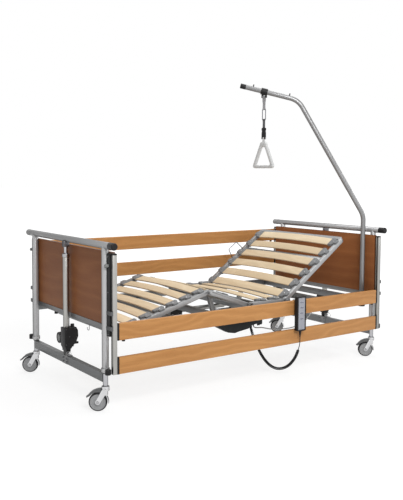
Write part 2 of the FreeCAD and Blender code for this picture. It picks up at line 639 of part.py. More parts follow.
def top_cap(end, side):
    x, y0 = end * END_X, side * TOP_TUBE_LENGTH / 2
    y1 = y0 + side * TOP_CAP_LENGTH
    r = TOP_TUBE_R + TOP_CAP_PROUD
    outer = rod(V(x, y0, TOP_TUBE_Z), V(x, y1, TOP_TUBE_Z), r)
    far_edge = [e for e in outer.Edges if e.Curve.TypeId == "Part::GeomCircle" and abs(e.CenterOfMass.y - y1) < 1]
    outer = outer.makeFillet(6, far_edge)
    spigot = rod(V(x, y0 - side * TOP_CAP_SPIGOT, TOP_TUBE_Z), V(x, y0, TOP_TUBE_Z), TOP_TUBE_R - TOP_TUBE_WALL)
    return fuse(outer, spigot)


def panel(end):
    slab = box(end * (PANEL_OUT_X - PANEL_THICKNESS), end * PANEL_OUT_X, -PANEL_WIDTH / 2, PANEL_WIDTH / 2,
               PANEL_FOOT_Z, PANEL_TOP_Z)
    return fillet_along(slab, ALONG, 6)


save("end_frames", *(end_frame(FOOT) + end_frame(HEAD)))
save("top_tube_caps", *[top_cap(end, side) for end, side in corners()])
save("end_panels", panel(FOOT), panel(HEAD))
save("lift_rods", lift_rod(FOOT), lift_rod(HEAD))


# ---------------------------------------------------------------- chassis
def hinge_bracket(x, side):
    """Block on the side rail that carries one hinge pin."""
    y_in, y_out = SECTION_HALF + BRACKET_GAP, SIDE_RAIL_IN_Y
    block = box(x - BRACKET_LENGTH / 2, x + BRACKET_LENGTH / 2, side * y_in, side * y_out,
                CROSS_FOOT_Z, HINGE_Z + BRACKET_LENGTH / 2)
    pin = rod(V(x, side * RAIL_IN_Y, HINGE_Z), V(x, side * y_out, HINGE_Z), HINGE_PIN_R)
    return [block.cut(pin), pin]


def drive_bracket(x, y, pin_z):
    """Two ears below a cross member, with the pin that holds a drive's tail."""
    pieces = []
    inner = EYE_HALF + EAR_GAP
    reach = inner + EAR_THICKNESS
    pin = rod(V(x, y - reach - 4, pin_z), V(x, y + reach + 4, pin_z), DRIVE_PIN_R)
    for s in (-1, 1):
        ear = box(x - CROSS_WIDTH / 2, x + CROSS_WIDTH / 2, y + s * inner, y + s * reach,
                  pin_z - EAR_R, CROSS_FOOT_Z)
        pieces.append(ear.cut(pin))
    return pieces + [pin]


def chassis():
    pieces = []
    for side in (NEAR, FAR):
        rail = square_tube(-END_X, END_X, side * SIDE_Y - SIDE_RAIL_WIDTH / 2, side * SIDE_Y + SIDE_RAIL_WIDTH / 2,
                           SIDE_RAIL_Z, SIDE_RAIL_TOP_Z, CHASSIS_WALL, "x")
        pieces.append(cut(rail, upright_body(FOOT, side), upright_body(HEAD, side),
                          lower_rail_body(FOOT), lower_rail_body(HEAD)))
        for x in (BACK_HINGE_X, THIGH_HINGE_X):
            pieces += hinge_bracket(x, side)
        clear = RAIL_HEIGHT / 2 + SEAT_RAIL_GAP
        pieces.append(square_tube(THIGH_HINGE_X + clear, BACK_HINGE_X - clear, side * RAIL_IN_Y,
                                  side * SECTION_HALF, SIDE_RAIL_TOP_Z, HINGE_Z + RAIL_HEIGHT / 2, RAIL_WALL, "x"))
    pieces += [square_tube(x - CROSS_WIDTH / 2, x + CROSS_WIDTH / 2, -SIDE_RAIL_IN_Y, SIDE_RAIL_IN_Y,
                           CROSS_FOOT_Z, SIDE_RAIL_TOP_Z, CHASSIS_WALL, "y") for x in CROSS_X]
    pieces += drive_bracket(CROSS_X[1], BACK_DRIVE_Y, DRIVE_BACK_Z)
    pieces += drive_bracket(CROSS_X[4], LEG_DRIVE_Y, DRIVE_LEG_Z)
    hanger_y = CONTROL_FRONT_Y + CONTROL_WIDTH / 2
    pieces += [box(x - HANGER_THICKNESS / 2, x + HANGER_THICKNESS / 2, hanger_y - HANGER_WIDTH / 2,
                   hanger_y + HANGER_WIDTH / 2, CONTROL_TOP_Z, CROSS_FOOT_Z) for x in CROSS_X[2:4]]
    return pieces


def pole_socket(side):
    """Blind socket inside the side rail for the lifting pole."""
    y = side * -POLE_Y
    foot, top = V(POLE_X, y, POLE_FOOT_Z - FACE - SOCKET_FLOOR), V(POLE_X, y, SOCKET_TOP_Z)
    body = rod(foot, top, SOCKET_R)
    web = box(POLE_X - 12, POLE_X + 12, y, side * SIDE_RAIL_IN_Y, SIDE_RAIL_Z, SIDE_RAIL_TOP_Z)
    bore = rod(V(POLE_X, y, POLE_FOOT_Z - FACE), top, POLE_R + RUN)
    return fuse(body, web).cut(bore)


# ---------------------------------------------------------------- section drives
def drive_tail(x, y, z, towards):
    """Rear eye between the bracket's ears, reaching the gear box."""
    half = EYE_HALF + EAR_GAP
    eye = rod(V(x, y - half, z), V(x, y + half, z), EYE_R)
    neck = box(x, x + towards * (CROSS_WIDTH / 2 + 6), y - half, y + half, z - EYE_R, z + EYE_R)
    return fuse(eye, neck).cut(rod(V(x, y - 40, z), V(x, y + 40, z), DRIVE_PIN_R))


def drive(x, y, z, towards, side, box_length, end_x):
    """Tail, gear box and guide tube in one housing, open at the front for the rod, and its motor."""
    box_x0 = x + towards * (CROSS_WIDTH / 2 + 2)
    box_x1 = box_x0 + towards * box_length
    gear = box(box_x0, box_x1, y - DRIVE_BOX_HALF, y + DRIVE_BOX_HALF,
               z - DRIVE_BOX_HEIGHT / 2, z + DRIVE_BOX_HEIGHT / 2)
    guide = rod(V(box_x1 - towards * 2, y, z), V(end_x, y, z), DRIVE_TUBE_R)
    mouth = 30.0
    wide = rod(V(box_x1, y, z), V(end_x - towards * mouth, y, z), DRIVE_TUBE_BORE)
    fit = rod(V(end_x - towards * (mouth + 1), y, z), V(end_x, y, z), DRIVE_ROD_R + RUN)
    seat_y = y + side * DRIVE_BOX_HALF
    seat = box(box_x0 + towards * 12, box_x1 - towards * 12, seat_y - side * 2, seat_y + side * DRIVE_MOTOR_SEAT,
               z - DRIVE_MOTOR_R + 6, z + DRIVE_MOTOR_R - 6)
    motor_y = seat_y + side * DRIVE_MOTOR_R
    motor = rod(V(box_x0 + towards * 6, motor_y, z), V(box_x0 + towards * (6 + DRIVE_MOTOR_LENGTH), motor_y, z),
                DRIVE_MOTOR_R)
    body = cut(fuse(drive_tail(x, y, z, towards), gear, guide, seat), wide, fit, motor)
    return [body, motor]


def drive_rod(eye_x, y, z, towards):
    """Rod with its eye; towards points from the drive's tail to the eye."""
    eye = rod(V(eye_x, y - EYE_HALF, z), V(eye_x, y + EYE_HALF, z), EYE_R)
    neck = box(eye_x, eye_x - towards * EYE_NECK, y - EYE_HALF, y + EYE_HALF, z - EYE_R, z + EYE_R)
    shaft = rod(V(eye_x - towards * (EYE_NECK - 2), y, z),
                V(eye_x - towards * (EYE_NECK + DRIVE_ROD_LENGTH), y, z), DRIVE_ROD_R)
    return fuse(eye, neck, shaft)


def lever_eye(hinge_x, direction, section_deg, lever_deg):
    swing = math.radians(section_deg - lever_deg)
    return hinge_x + direction * LEVER * math.sin(swing), HINGE_Z - LEVER * math.cos(swing)


back_eye_x, back_eye_z = lever_eye(BACK_HINGE_X, 1, BACK_DEG, BACK_LEVER_DEG)
thigh_eye_x, thigh_eye_z = lever_eye(THIGH_HINGE_X, -1, THIGH_DEG, THIGH_LEVER_DEG)

save("back_drive", *drive(CROSS_X[1], BACK_DRIVE_Y, DRIVE_BACK_Z, 1, FAR, BACK_BOX_LENGTH, BACK_TUBE_END_X))
save("back_drive_rod", drive_rod(back_eye_x, BACK_DRIVE_Y, DRIVE_BACK_Z, 1))
save("leg_drive", *drive(CROSS_X[4], LEG_DRIVE_Y, DRIVE_LEG_Z, -1, NEAR, LEG_BOX_LENGTH, LEG_TUBE_END_X))
save("leg_drive_rod", drive_rod(thigh_eye_x, LEG_DRIVE_Y, DRIVE_LEG_Z, -1))

save("chassis", *chassis())
save("pole_sockets", pole_socket(NEAR), pole_socket(FAR))

control = profile(CONTROL_SIDE, CONTROL_FRONT_Y, CONTROL_WIDTH)
inlet_y = CONTROL_FRONT_Y + CONTROL_WIDTH
inlet = box(INLET_X - INLET_WIDTH / 2, INLET_X + INLET_WIDTH / 2, inlet_y - 2, inlet_y + INLET_DEPTH,
            CONTROL_TOP_Z - 6 - INLET_HEIGHT, CONTROL_TOP_Z - 6)
inlet = inlet.cut(box(INLET_X - INLET_WIDTH / 2 + INLET_WALL, INLET_X + INLET_WIDTH / 2 - INLET_WALL, inlet_y,
                      inlet_y + INLET_DEPTH, CONTROL_TOP_Z - 6 - INLET_HEIGHT + INLET_WALL,
                      CONTROL_TOP_Z - 6 - INLET_WALL))


# ---------------------------------------------------------------- slats and holders
def slat(s, half, direction):
    """Arched slat across the bed; s is measured from the section's hinge."""
    end = half - RAIL_WIDTH - HOLDER_LENGTH + SLAT_END_IN
    at = direction * s - SLAT_WIDTH / 2
    low = [V(at, y, z) for y, z in ((-end, SLAT_BASE), (0, SLAT_BASE + SLAT_CROWN), (end, SLAT_BASE))]
    high = [p + UP * SLAT_THICKNESS for p in low]
    loop = Part.Wire([Part.Arc(*low).toShape(), Part.LineSegment(low[2], high[2]).toShape(),
                      Part.Arc(*reversed(high)).toShape(), Part.LineSegment(high[0], low[0]).toShape()])
    return Part.Face(loop).extrude(ALONG * SLAT_WIDTH)


def holders(s, half, direction, blade):
    out = half - RAIL_WIDTH
    x = direction * s
    pair = []
    for side in (NEAR, FAR):
        block = box(x - HOLDER_WIDTH / 2, x + HOLDER_WIDTH / 2, side * (out - HOLDER_LENGTH), side * out,
                    HOLDER_FLOOR, HOLDER_TOP)
        pair.append(fillet_along(block, ACROSS, 3).cut(blade))
    return pair


def slatted(stations, half, direction):
    blades = [slat(s, half, direction) for s in stations]
    seats = [h for s, blade in zip(stations, blades) for h in holders(s, half, direction, blade)]
    return blades, seats


def tie(s, half, direction):
    """Cross bar between the rails of a section."""
    x = direction * s
    out = half - RAIL_WIDTH
    return box(x - TIE_WIDTH / 2, x + TIE_WIDTH / 2, -out, out,
               -RAIL_HEIGHT / 2, -RAIL_HEIGHT / 2 + TIE_HEIGHT)


def lever_ears(s, direction, y, lean_deg):
    """Two lever plates below a tie, ending beside the drive rod's eye."""
    lean = math.radians(lean_deg)
    eye = V(-direction * LEVER * math.sin(lean), 0, -LEVER * math.cos(lean))
    top0, top1 = V(direction * (s - TIE_WIDTH / 2), 0, -RAIL_HEIGHT / 2), \
        V(direction * (s + TIE_WIDTH / 2), 0, -RAIL_HEIGHT / 2)
    pieces = []
    for t in (-1, 1):
        inner = EYE_HALF + EAR_GAP
        y0 = y + inner if t > 0 else y - inner - EAR_THICKNESS
        along = (top1 - eye).normalize()
        side_step = V(-along.z, 0, along.x) * (EAR_R * direction)
        outline = tuple((p.x, p.z) for p in (top0, eye + side_step, eye - side_step, top1))
        plate = profile(outline, y0, EAR_THICKNESS)
        tip = rod(V(eye.x, y0, eye.z), V(eye.x, y0 + EAR_THICKNESS, eye.z), EAR_R)
        boss_y = y0 + EAR_THICKNESS if t > 0 else y0
        boss = rod(V(eye.x, boss_y, eye.z), V(eye.x, boss_y + t * 4, eye.z), DRIVE_PIN_R)
        pieces.append(fuse(plate, tip, boss))
    return pieces


def straight_rail(length, direction, side, half):
    """Tubular side rail with a solid hinge lug at its near end."""
    y0, y1 = sorted((side * (half - RAIL_WIDTH), side * half))
    h, w = RAIL_HEIGHT / 2, RAIL_WALL
    body = box(0, direction * length, y0, y1, -h, h)
    hollow = box(direction * h, direction * (length - h), y0 + w, y1 - w, -h + w, h - w)
    lug = rod(V(0, y0, 0), V(0, y1, 0), h)
    return fuse(body.cut(hollow), lug).cut(rod(V(0, y0 - 1, 0), V(0, y1 + 1, 0), HINGE_PIN_R + RUN))


def u_band(length, direction, half, inset, start):
    """The space of a bent frame with its faces moved in by inset."""
    h = RAIL_HEIGHT / 2 - inset
    outer = box(direction * start, direction * (length - inset), inset - half, half - inset, -h, h)
    ends = [e for e in outer.Edges if abs(e.CenterOfMass.x - direction * (length - inset)) < 1
            and abs(e.tangentAt(e.FirstParameter).dot(UP)) > 0.99]
    outer = outer.makeFillet(RAIL_CORNER_R - inset, ends)
    reach = half - RAIL_WIDTH + inset
    return outer.cut(box(direction * (start - 1), direction * (length - RAIL_WIDTH + inset), -reach, reach, -h, h))


def u_frame(length, direction, half):
    """Two side rails and the end bar in one bent tube with rounded corners and solid hinge lugs."""
    h = RAIL_HEIGHT / 2
    body = u_band(length, direction, half, 0, 0).cut(u_band(length, direction, half, RAIL_WALL, h))
    lugs = [rod(V(0, y0, 0), V(0, y0 + RAIL_WIDTH, 0), h) for y0 in (-half, half - RAIL_WIDTH)]
    return fuse(body, *lugs).cut(rod(V(0, -half - 1, 0), V(0, half + 1, 0), HINGE_PIN_R + RUN))


def stand(shapes, x, z, degrees):
    """Turn flat section pieces about the hinge at (x, z); positive lifts the +X side."""
    placed = []
    for shape in shapes:
        copy = shape.copy()
        copy.rotate(V(0, 0, 0), ACROSS, -degrees)
        copy.translate(V(x, 0, z))
        placed.append(copy)
    return placed


# backrest
back = u_frame(BACK_LENGTH, 1, SECTION_HALF)
back_ties = [tie(s, SECTION_HALF, 1) for s in (BACK_SLAT_FIRST, BACK_SLAT_FIRST + 3.5 * SLAT_PITCH)]
back_ears = lever_ears(BACK_SLAT_FIRST, 1, BACK_DRIVE_Y, BACK_LEVER_DEG)
stations = [BACK_SLAT_FIRST + k * SLAT_PITCH for k in range(BACK_SLATS)]
blades, seats = slatted(stations, SECTION_HALF, 1)
save("back_frame", *stand([back] + back_ties + back_ears, BACK_HINGE_X, HINGE_Z, BACK_DEG))
save("back_slats", *stand(blades, BACK_HINGE_X, HINGE_Z, BACK_DEG))
save("back_holders", *stand(seats, BACK_HINGE_X, HINGE_Z, BACK_DEG))
bow_y = SECTION_HALF - RAIL_WIDTH / 2
bow_z = RAIL_HEIGHT / 2
bow_points = [V(BOW_FOOT_S, bow_y, bow_z), V(BOW_FOOT_S + BOW_TAPER / 2, bow_y, bow_z + BOW_HEIGHT),
              V(BOW_FOOT_S + BOW_WIDTH - BOW_TAPER, bow_y, bow_z + BOW_HEIGHT),
              V(BOW_FOOT_S + BOW_WIDTH, bow_y, bow_z)]
bow = sweep(bent_path(bow_points, [BOW_CORNER_R, BOW_CORNER_R]), BOW_WIRE)
rail_top = box(0, BACK_LENGTH, bow_y - 20, bow_y + 20, bow_z - 20, bow_z)
save("mattress_bow", *stand([bow.cut(rail_top)], BACK_HINGE_X, HINGE_Z, BACK_DEG))

# seat: slats between the fixed rails
seat_first = BACK_HINGE_X + BACK_SLAT_FIRST - SLAT_PITCH
blades, seats = slatted([seat_first - k * SLAT_PITCH for k in range(SEAT_SLATS)], SECTION_HALF, 1)
save("seat_slats", *stand(blades, 0, HINGE_Z, 0))
save("seat_holders", *stand(seats, 0, HINGE_Z, 0))

# thigh section, leaning up towards the knee
knee_x = THIGH_HINGE_X - THIGH_LENGTH * math.cos(math.radians(THIGH_DEG))
knee_z = HINGE_Z + THIGH_LENGTH * math.sin(math.radians(THIGH_DEG))
thigh_rails, knee_pins = [], []
for side in (NEAR, FAR):
    rail = straight_rail(THIGH_LENGTH, -1, side, SECTION_HALF)
    y0, y1 = sorted((side * RAIL_IN_Y, side * SECTION_HALF))
    tip = rod(V(-THIGH_LENGTH, y0, 0), V(-THIGH_LENGTH, y1, 0), RAIL_HEIGHT / 2)
    inner = side * (LEG_HALF - RAIL_WIDTH - 1)
    shank = rod(V(-THIGH_LENGTH, inner, 0), V(-THIGH_LENGTH, side * SECTION_HALF, 0), HINGE_PIN_R)
    head = rod(V(-THIGH_LENGTH, inner - side * PIN_HEAD, 0), V(-THIGH_LENGTH, inner, 0), PIN_HEAD_R)
    pin = fuse(shank, head)
    thigh_rails.append(fuse(rail, tip).cut(pin))
    knee_pins.append(pin)
thigh_ties = [tie(s, SECTION_HALF, -1) for s in (40.0, THIGH_LENGTH - 50.0)]
thigh_ears = lever_ears(40.0, -1, LEG_DRIVE_Y, THIGH_LEVER_DEG)
blades, seats = slatted([THIGH_SLAT_FIRST + k * SLAT_PITCH for k in range(THIGH_SLATS)], SECTION_HALF, -1)
save("thigh_frame", *stand(thigh_rails + knee_pins + thigh_ties + thigh_ears, THIGH_HINGE_X, HINGE_Z, -THIGH_DEG))
save("thigh_slats", *stand(blades, THIGH_HINGE_X, HINGE_Z, -THIGH_DEG))
save("thigh_holders", *stand(seats, THIGH_HINGE_X, HINGE_Z, -THIGH_DEG))

# lower leg section, hung from the knee
leg = u_frame(LEG_LENGTH, -1, LEG_HALF)
leg_ties = [tie(s, LEG_HALF, -1) for s in (LEG_SLAT_FIRST + 0.5 * LEG_SLAT_PITCH, LEG_SLAT_FIRST + 3.5 * LEG_SLAT_PITCH)]
blades, seats = slatted([LEG_SLAT_FIRST + k * LEG_SLAT_PITCH for k in range(LEG_SLATS)], LEG_HALF, -1)
save("leg_frame", *stand([leg] + leg_ties, knee_x, knee_z, -LEG_DEG))
save("leg_slats", *stand(blades, knee_x, knee_z, -LEG_DEG))
save("leg_holders", *stand(seats, knee_x, knee_z, -LEG_DEG))


# ---------------------------------------------------------------- side guides
def guide_rail(end, side):
    """Upright channel whose slot faces along the bed, with two bands to the latch housing."""
    x, y, half = end * GUIDE_X, side * GUIDE_Y, GUIDE_SIZE / 2
    hollow = half - GUIDE_WALL
    body = box(x - half, x + half, y - half, y + half, UPRIGHT_FOOT_Z, GUIDE_TOP_Z)
    channel = box(x - hollow, x + hollow, y - hollow, y + hollow, UPRIGHT_FOOT_Z, GUIDE_TOP_Z)
    slot = box(x, x - end * (half + 1), y - GUIDE_SLOT / 2, y + GUIDE_SLOT / 2, UPRIGHT_FOOT_Z, GUIDE_TOP_Z)
    body = cut(body, channel, slot)
    latch_face = end * (PANEL_OUT_X + LATCH_OUT)
    bands = []
    for z in BAND_Z:
        strap = box(latch_face, latch_face + end * BAND_THICKNESS, side * (SIDE_Y + UPRIGHT_R + 2), y + side * half,
                    z - BAND_HEIGHT / 2, z + BAND_HEIGHT / 2)
        foot = box(x + end * half, latch_face + end * BAND_THICKNESS, y - half, y + half,
                   z - BAND_HEIGHT / 2, z + BAND_HEIGHT / 2)
        bands.append(fuse(strap, foot))
    return [body] + bands


def latch_housing(end, side):
    """Housing between upright and guide, with the release button's bore, and the guide's cap."""
    y_out = side * (GUIDE_Y - GUIDE_SIZE / 2)
    body = box(end * PANEL_OUT_X, end * (PANEL_OUT_X + LATCH_OUT), side * (SIDE_Y + SIDE_RAIL_WIDTH / 2), y_out,
               LATCH_FOOT_Z, LATCH_TOP_Z).cut(upright_body(end, side))
    bx, by = end * (PANEL_OUT_X + LATCH_OUT), button_y(side)
    depth = BUTTON_LENGTH - BUTTON_PROUD + BUTTON_TRAVEL + FACE
    body = body.cut(rod(V(bx, by, BUTTON_Z), V(bx - end * depth, by, BUTTON_Z), BUTTON_R + RUN))
    x, y, half = end * GUIDE_X, side * GUIDE_Y, GUIDE_SIZE / 2
    cap = box(x - half, x + half, y - half, y + half, GUIDE_TOP_Z, GUIDE_TOP_Z + GUIDE_CAP_HEIGHT)
    return [body, fillet_along(cap, UP, 3)]


def button_y(side):
    return side * (SIDE_Y + UPRIGHT_R + GUIDE_Y - GUIDE_SIZE / 2) / 2


def release_button(end, side):
    face = PANEL_OUT_X + LATCH_OUT + BUTTON_PROUD
    y = button_y(side)
    body = rod(V(end * (face - BUTTON_LENGTH), y, BUTTON_Z), V(end * face, y, BUTTON_Z), BUTTON_R)
    rim = [e for e in body.Edges if e.Curve.TypeId == "Part::GeomCircle" and abs(abs(e.CenterOfMass.x) - face) < 1]
    return body.makeFillet(2, rim)


def corner_knob(end, side):
    """Clamp ring round the upright's foot with its knob beside the guide rail."""
    x, y = end * END_X, side * SIDE_Y
    z0 = UPRIGHT_FOOT_Z + 4
    ring = rod(V(x, y, z0), V(x, y, z0 + KNOB_RING_HEIGHT), KNOB_RING_R)
    kx, ky = end * (END_X + KNOB_OUT_X), side * (SIDE_Y + KNOB_OUT_Y)
    arm = box(x, x + end * KNOB_OUT_X, y + side * UPRIGHT_R, ky, z0 + 2, z0 + KNOB_RING_HEIGHT - 2)
    knob = rod(V(kx, ky, KNOB_Z - KNOB_HEIGHT / 2), V(kx, ky, KNOB_Z + KNOB_HEIGHT / 2), KNOB_R)
    rims = [e for e in knob.Edges if e.Curve.TypeId == "Part::GeomCircle"]
    return fuse(ring, arm, knob.makeFillet(4, rims)).cut(upright_body(end, side))


def glide_bush(end, side):
    """Bush in the foot of the upright that guides the inner tube."""
    x, y = end * END_X, side * SIDE_Y
    body = rod(V(x, y, UPRIGHT_FOOT_Z), V(x, y, UPRIGHT_FOOT_Z + BUSH_LENGTH), UPRIGHT_R - UPRIGHT_WALL)
    flange = rod(V(x, y, UPRIGHT_FOOT_Z - BUSH_FLANGE), V(x, y, UPRIGHT_FOOT_Z), UPRIGHT_R)
    bore = rod(V(x, y, UPRIGHT_FOOT_Z - 9), V(x, y, UPRIGHT_FOOT_Z + 2 * BUSH_LENGTH), INNER_R + RUN)
    return fuse(body, flange).cut(bore)


save("guide_rails", *[p for end, side in corners() for p in guide_rail(end, side)])
save("latch_housings", *[p for end, side in corners() for p in latch_housing(end, side)])
for end, side in corners():
    name = ("foot" if end == FOOT else "head") + ("_near" if side == NEAR else "_far")
    save(name + "_button", release_button(end, side))

under_rail_x = -(PANEL_OUT_X + LOWER_RAIL_SEAT - LOWER_RAIL_DEPTH / 2)
rail_knob = rod(V(under_rail_x, RAIL_KNOB_Y, LOWER_RAIL_Z - RAIL_KNOB_HEIGHT),
                V(under_rail_x, RAIL_KNOB_Y, LOWER_RAIL_Z), RAIL_KNOB_R)
hook_points = [V(under_rail_x, HOOK_Y, LOWER_RAIL_Z), V(under_rail_x, HOOK_Y, LOWER_RAIL_Z - 40),
               V(under_rail_x, HOOK_Y + 24, LOWER_RAIL_Z - 40), V(under_rail_x, HOOK_Y + 24, LOWER_RAIL_Z - 26)]
rail_hook = sweep(bent_path(hook_points, [11.0, 11.0]), HOOK_WIRE)
save("knobs_and_bushes", *[corner_knob(end, side) for end, side in corners()],
     *[glide_bush(end, side) for end, side in corners()], rail_knob, rail_hook)


# ---------------------------------------------------------------- side bars
def wooden_bar(side, foot_z):
    y = side * GUIDE_Y
    body = box(-BAR_LENGTH / 2, BAR_LENGTH / 2, y - BAR_THICKNESS / 2, y + BAR_THICKNESS / 2,
               foot_z, foot_z + BAR_HEIGHT)
    return fillet_along(body, ALONG, BAR_EDGE_R)


def bar_ends(end, side, foot_z):
    """End plates of both bars and the slider that joins them inside the guide rail."""
    y = side * GUIDE_Y
    plate_x = end * BAR_LENGTH / 2
    guide_face = end * (GUIDE_X - GUIDE_SIZE / 2)
    plate_out = BAR_LENGTH / 2 + BAR_END_PLATE
    hollow = GUIDE_SIZE / 2 - GUIDE_WALL - FACE
    top_z = foot_z + BAR_PITCH + BAR_HEIGHT
    slider = box(end * (GUIDE_X - hollow), end * (GUIDE_X + hollow), y - hollow, y + hollow,
                 foot_z + SLIDER_FOOT, top_z - SLIDER_FOOT)
    neck_half = GUIDE_SLOT / 2 - FACE
    neck = box(plate_x, end * GUIDE_X, y - neck_half, y + neck_half, foot_z + SLIDER_FOOT, top_z - SLIDER_FOOT)
    neck = neck.cut(box(plate_x, guide_face - end * FACE, y - 20, y + 20,
                        foot_z + BAR_HEIGHT, foot_z + BAR_PITCH))
    plates = [box(plate_x, end * plate_out, y - BAR_THICKNESS / 2, y + BAR_THICKNESS / 2, z, z + BAR_HEIGHT)
              for z in (foot_z, foot_z + BAR_PITCH)]
    knob_x = plate_x - end * BAR_KNOB_IN
    knob_top = foot_z + BAR_PITCH
    knob = rod(V(knob_x, y, knob_top - BAR_KNOB_HEIGHT), V(knob_x, y, knob_top), BAR_KNOB_R)
    return [fuse(slider, neck, *plates), knob]


for side, name, lift in ((NEAR, "near", 0.0), (FAR, "far", BAR_TRAVEL)):
    foot_z = LOWER_BAR_Z + lift
    save(name + "_bars", wooden_bar(side, foot_z), wooden_bar(side, foot_z + BAR_PITCH))
    save(name + "_bar_ends", *[p for end in (FOOT, HEAD) for p in bar_ends(end, side, foot_z)])


# ---------------------------------------------------------------- lifting pole
lean = math.radians(POLE_PLAN_DEG)
reach_dir = V(math.cos(lean), math.sin(lean), 0)


def pole_point(reach, z):
    return V(POLE_X, POLE_Y, z) + reach_dir * reach


pole_points = [pole_point(0, POLE_FOOT_Z), pole_point(0, POLE_BEND_Z), pole_point(*POLE_ELBOW),
               pole_point(*POLE_TIP)]
pole_radii = [POLE_BEND_R, POLE_BEND_R]
boom_dir = (pole_points[3] - pole_points[2]).normalize()
bar = sweep(bent_path(pole_points, pole_radii), POLE_R)
hollow_points = pole_points[:3] + [pole_points[3] + boom_dir * 5]
hollow_points[0] = hollow_points[0] - UP * 5
hollow = sweep(bent_path(hollow_points, pole_radii), POLE_R - POLE_WALL)


def boom_point(reach):
    rise = (POLE_TIP[1] - POLE_ELBOW[1]) / (POLE_TIP[0] - POLE_ELBOW[0])
    return pole_point(reach, POLE_ELBOW[1] + (reach - POLE_ELBOW[0]) * rise)


across_boom = boom_dir.cross(UP).normalize()
boom_up = across_boom.cross(boom_dir).normalize()
bar = bar.cut(hollow)
pegs = []
for reach in PEG_REACH:
    at = boom_point(reach)
    peg = rod(at, at + boom_up * (POLE_R + PEG_HEIGHT), PEG_R)
    pegs.append(peg.cut(rod(at - boom_dir * 30, at + boom_dir * 30, POLE_R)))
cap = rod(pole_points[3], pole_points[3] + boom_dir * POLE_CAP_LENGTH, POLE_R + TOP_CAP_PROUD)
cap_plug = rod(pole_points[3] - boom_dir * TOP_CAP_SPIGOT, pole_points[3], POLE_R - POLE_WALL)
weld_at = boom_point(POLE_BOOM_REACH)
boom_space = rod(weld_at, weld_at + boom_dir * 1000, 6 * POLE_R)
save("pole", bar.cut(boom_space), bar.common(boom_space))
save("pole_cap_and_pegs", fuse(cap, cap_plug), *pegs)

# strap clamp on the boom, its lug turned to the strap's width
clamp_at = boom_point(CLAMP_REACH)
half_clamp = boom_dir * (CLAMP_LENGTH / 2)
pin_at = clamp_at - UP * STRAP_PIN_DROP
face = math.radians(STRAP_FACE_DEG)
width_dir = V(math.cos(face), math.sin(face), 0)
thick_dir = UP.cross(width_dir)


def facing_box(centre, width, thickness, z0, z1):
    """Upright block with its width along the strap's width."""
    block = Part.makeBox(width, thickness, z1 - z0, V(-width / 2, -thickness / 2, 0))
    block.rotate(V(0, 0, 0), UP, STRAP_FACE_DEG)
    block.translate(V(centre.x, centre.y, z0))
    return block


lug_half = STRAP_TOP_WIDTH / 2 + FACE
sleeve = rod(clamp_at - half_clamp, clamp_at + half_clamp, CLAMP_R)
lug = facing_box(clamp_at, 2 * lug_half + 8, CLAMP_LUG, pin_at.z - 8, clamp_at.z)
mouth = facing_box(clamp_at, 2 * lug_half, 4 * CLAMP_LUG, pin_at.z - 20, pin_at.z + 9)
sleeve_bore = rod(clamp_at - half_clamp * 2, clamp_at + half_clamp * 2, POLE_R + RUN)
strap_pin = rod(pin_at - width_dir * (lug_half + 4), pin_at + width_dir * (lug_half + 4), STRAP_PIN_R)
clamp = cut(fuse(sleeve, cut(lug, mouth)), sleeve_bore, strap_pin)
save("strap_clamp", clamp, strap_pin)

# strap: loop on the pin, tapering web, metal ring, web, buckle
loop = rod(pin_at - width_dir * (STRAP_TOP_WIDTH / 2), pin_at + width_dir * (STRAP_TOP_WIDTH / 2), STRAP_PIN_R + 3)
web_top = facing_box(pin_at, STRAP_TOP_WIDTH, STRAP_THICKNESS, RING_TOP_Z + 50, pin_at.z)
web_mid = facing_box(pin_at, STRAP_WIDTH, STRAP_THICKNESS, RING_TOP_Z - RING_WIRE * 2, RING_TOP_Z + 50)
web_low = facing_box(pin_at, STRAP_WIDTH, STRAP_THICKNESS, BUCKLE_TOP_Z, RING_TOP_Z - RING_HEIGHT + RING_WIRE * 2)
loop_bore = rod(pin_at - width_dir * 60, pin_at + width_dir * 60, STRAP_PIN_R + RUN)
ring_outer = facing_box(pin_at, RING_WIDTH, 2 * RING_WIRE, RING_TOP_Z - RING_HEIGHT, RING_TOP_Z)
ring_inner = facing_box(pin_at, RING_WIDTH - 4 * RING_WIRE, 4 * RING_WIRE, RING_TOP_Z - RING_HEIGHT + 2 * RING_WIRE,
                        RING_TOP_Z - 2 * RING_WIRE)
ring = ring_outer.cut(ring_inner)
strap_upper = cut(fuse(loop, web_top, web_mid), loop_bore, ring)
save("strap", strap_upper, web_low.cut(ring))
buckle = facing_box(pin_at, BUCKLE_WIDTH, BUCKLE_THICKNESS, BUCKLE_TOP_Z - BUCKLE_HEIGHT, BUCKLE_TOP_Z)
tongue_half = 8.0
fork_foot = HANDLE_PIN_Z - 8
yoke = facing_box(pin_at, BUCKLE_WIDTH, BUCKLE_THICKNESS, fork_foot, BUCKLE_TOP_Z - BUCKLE_HEIGHT)
yoke_gap = facing_box(pin_at, 2 * tongue_half, 40, fork_foot - 1, HANDLE_PIN_Z + 8)
handle_pin_at = V(pin_at.x, pin_at.y, HANDLE_PIN_Z)
handle_pin = rod(handle_pin_at - width_dir * (BUCKLE_WIDTH / 2), handle_pin_at + width_dir * (BUCKLE_WIDTH / 2),
                 HANDLE_PIN_R)
save("strap_fittings", ring, cut(fuse(buckle, yoke), yoke_gap, handle_pin), handle_pin)


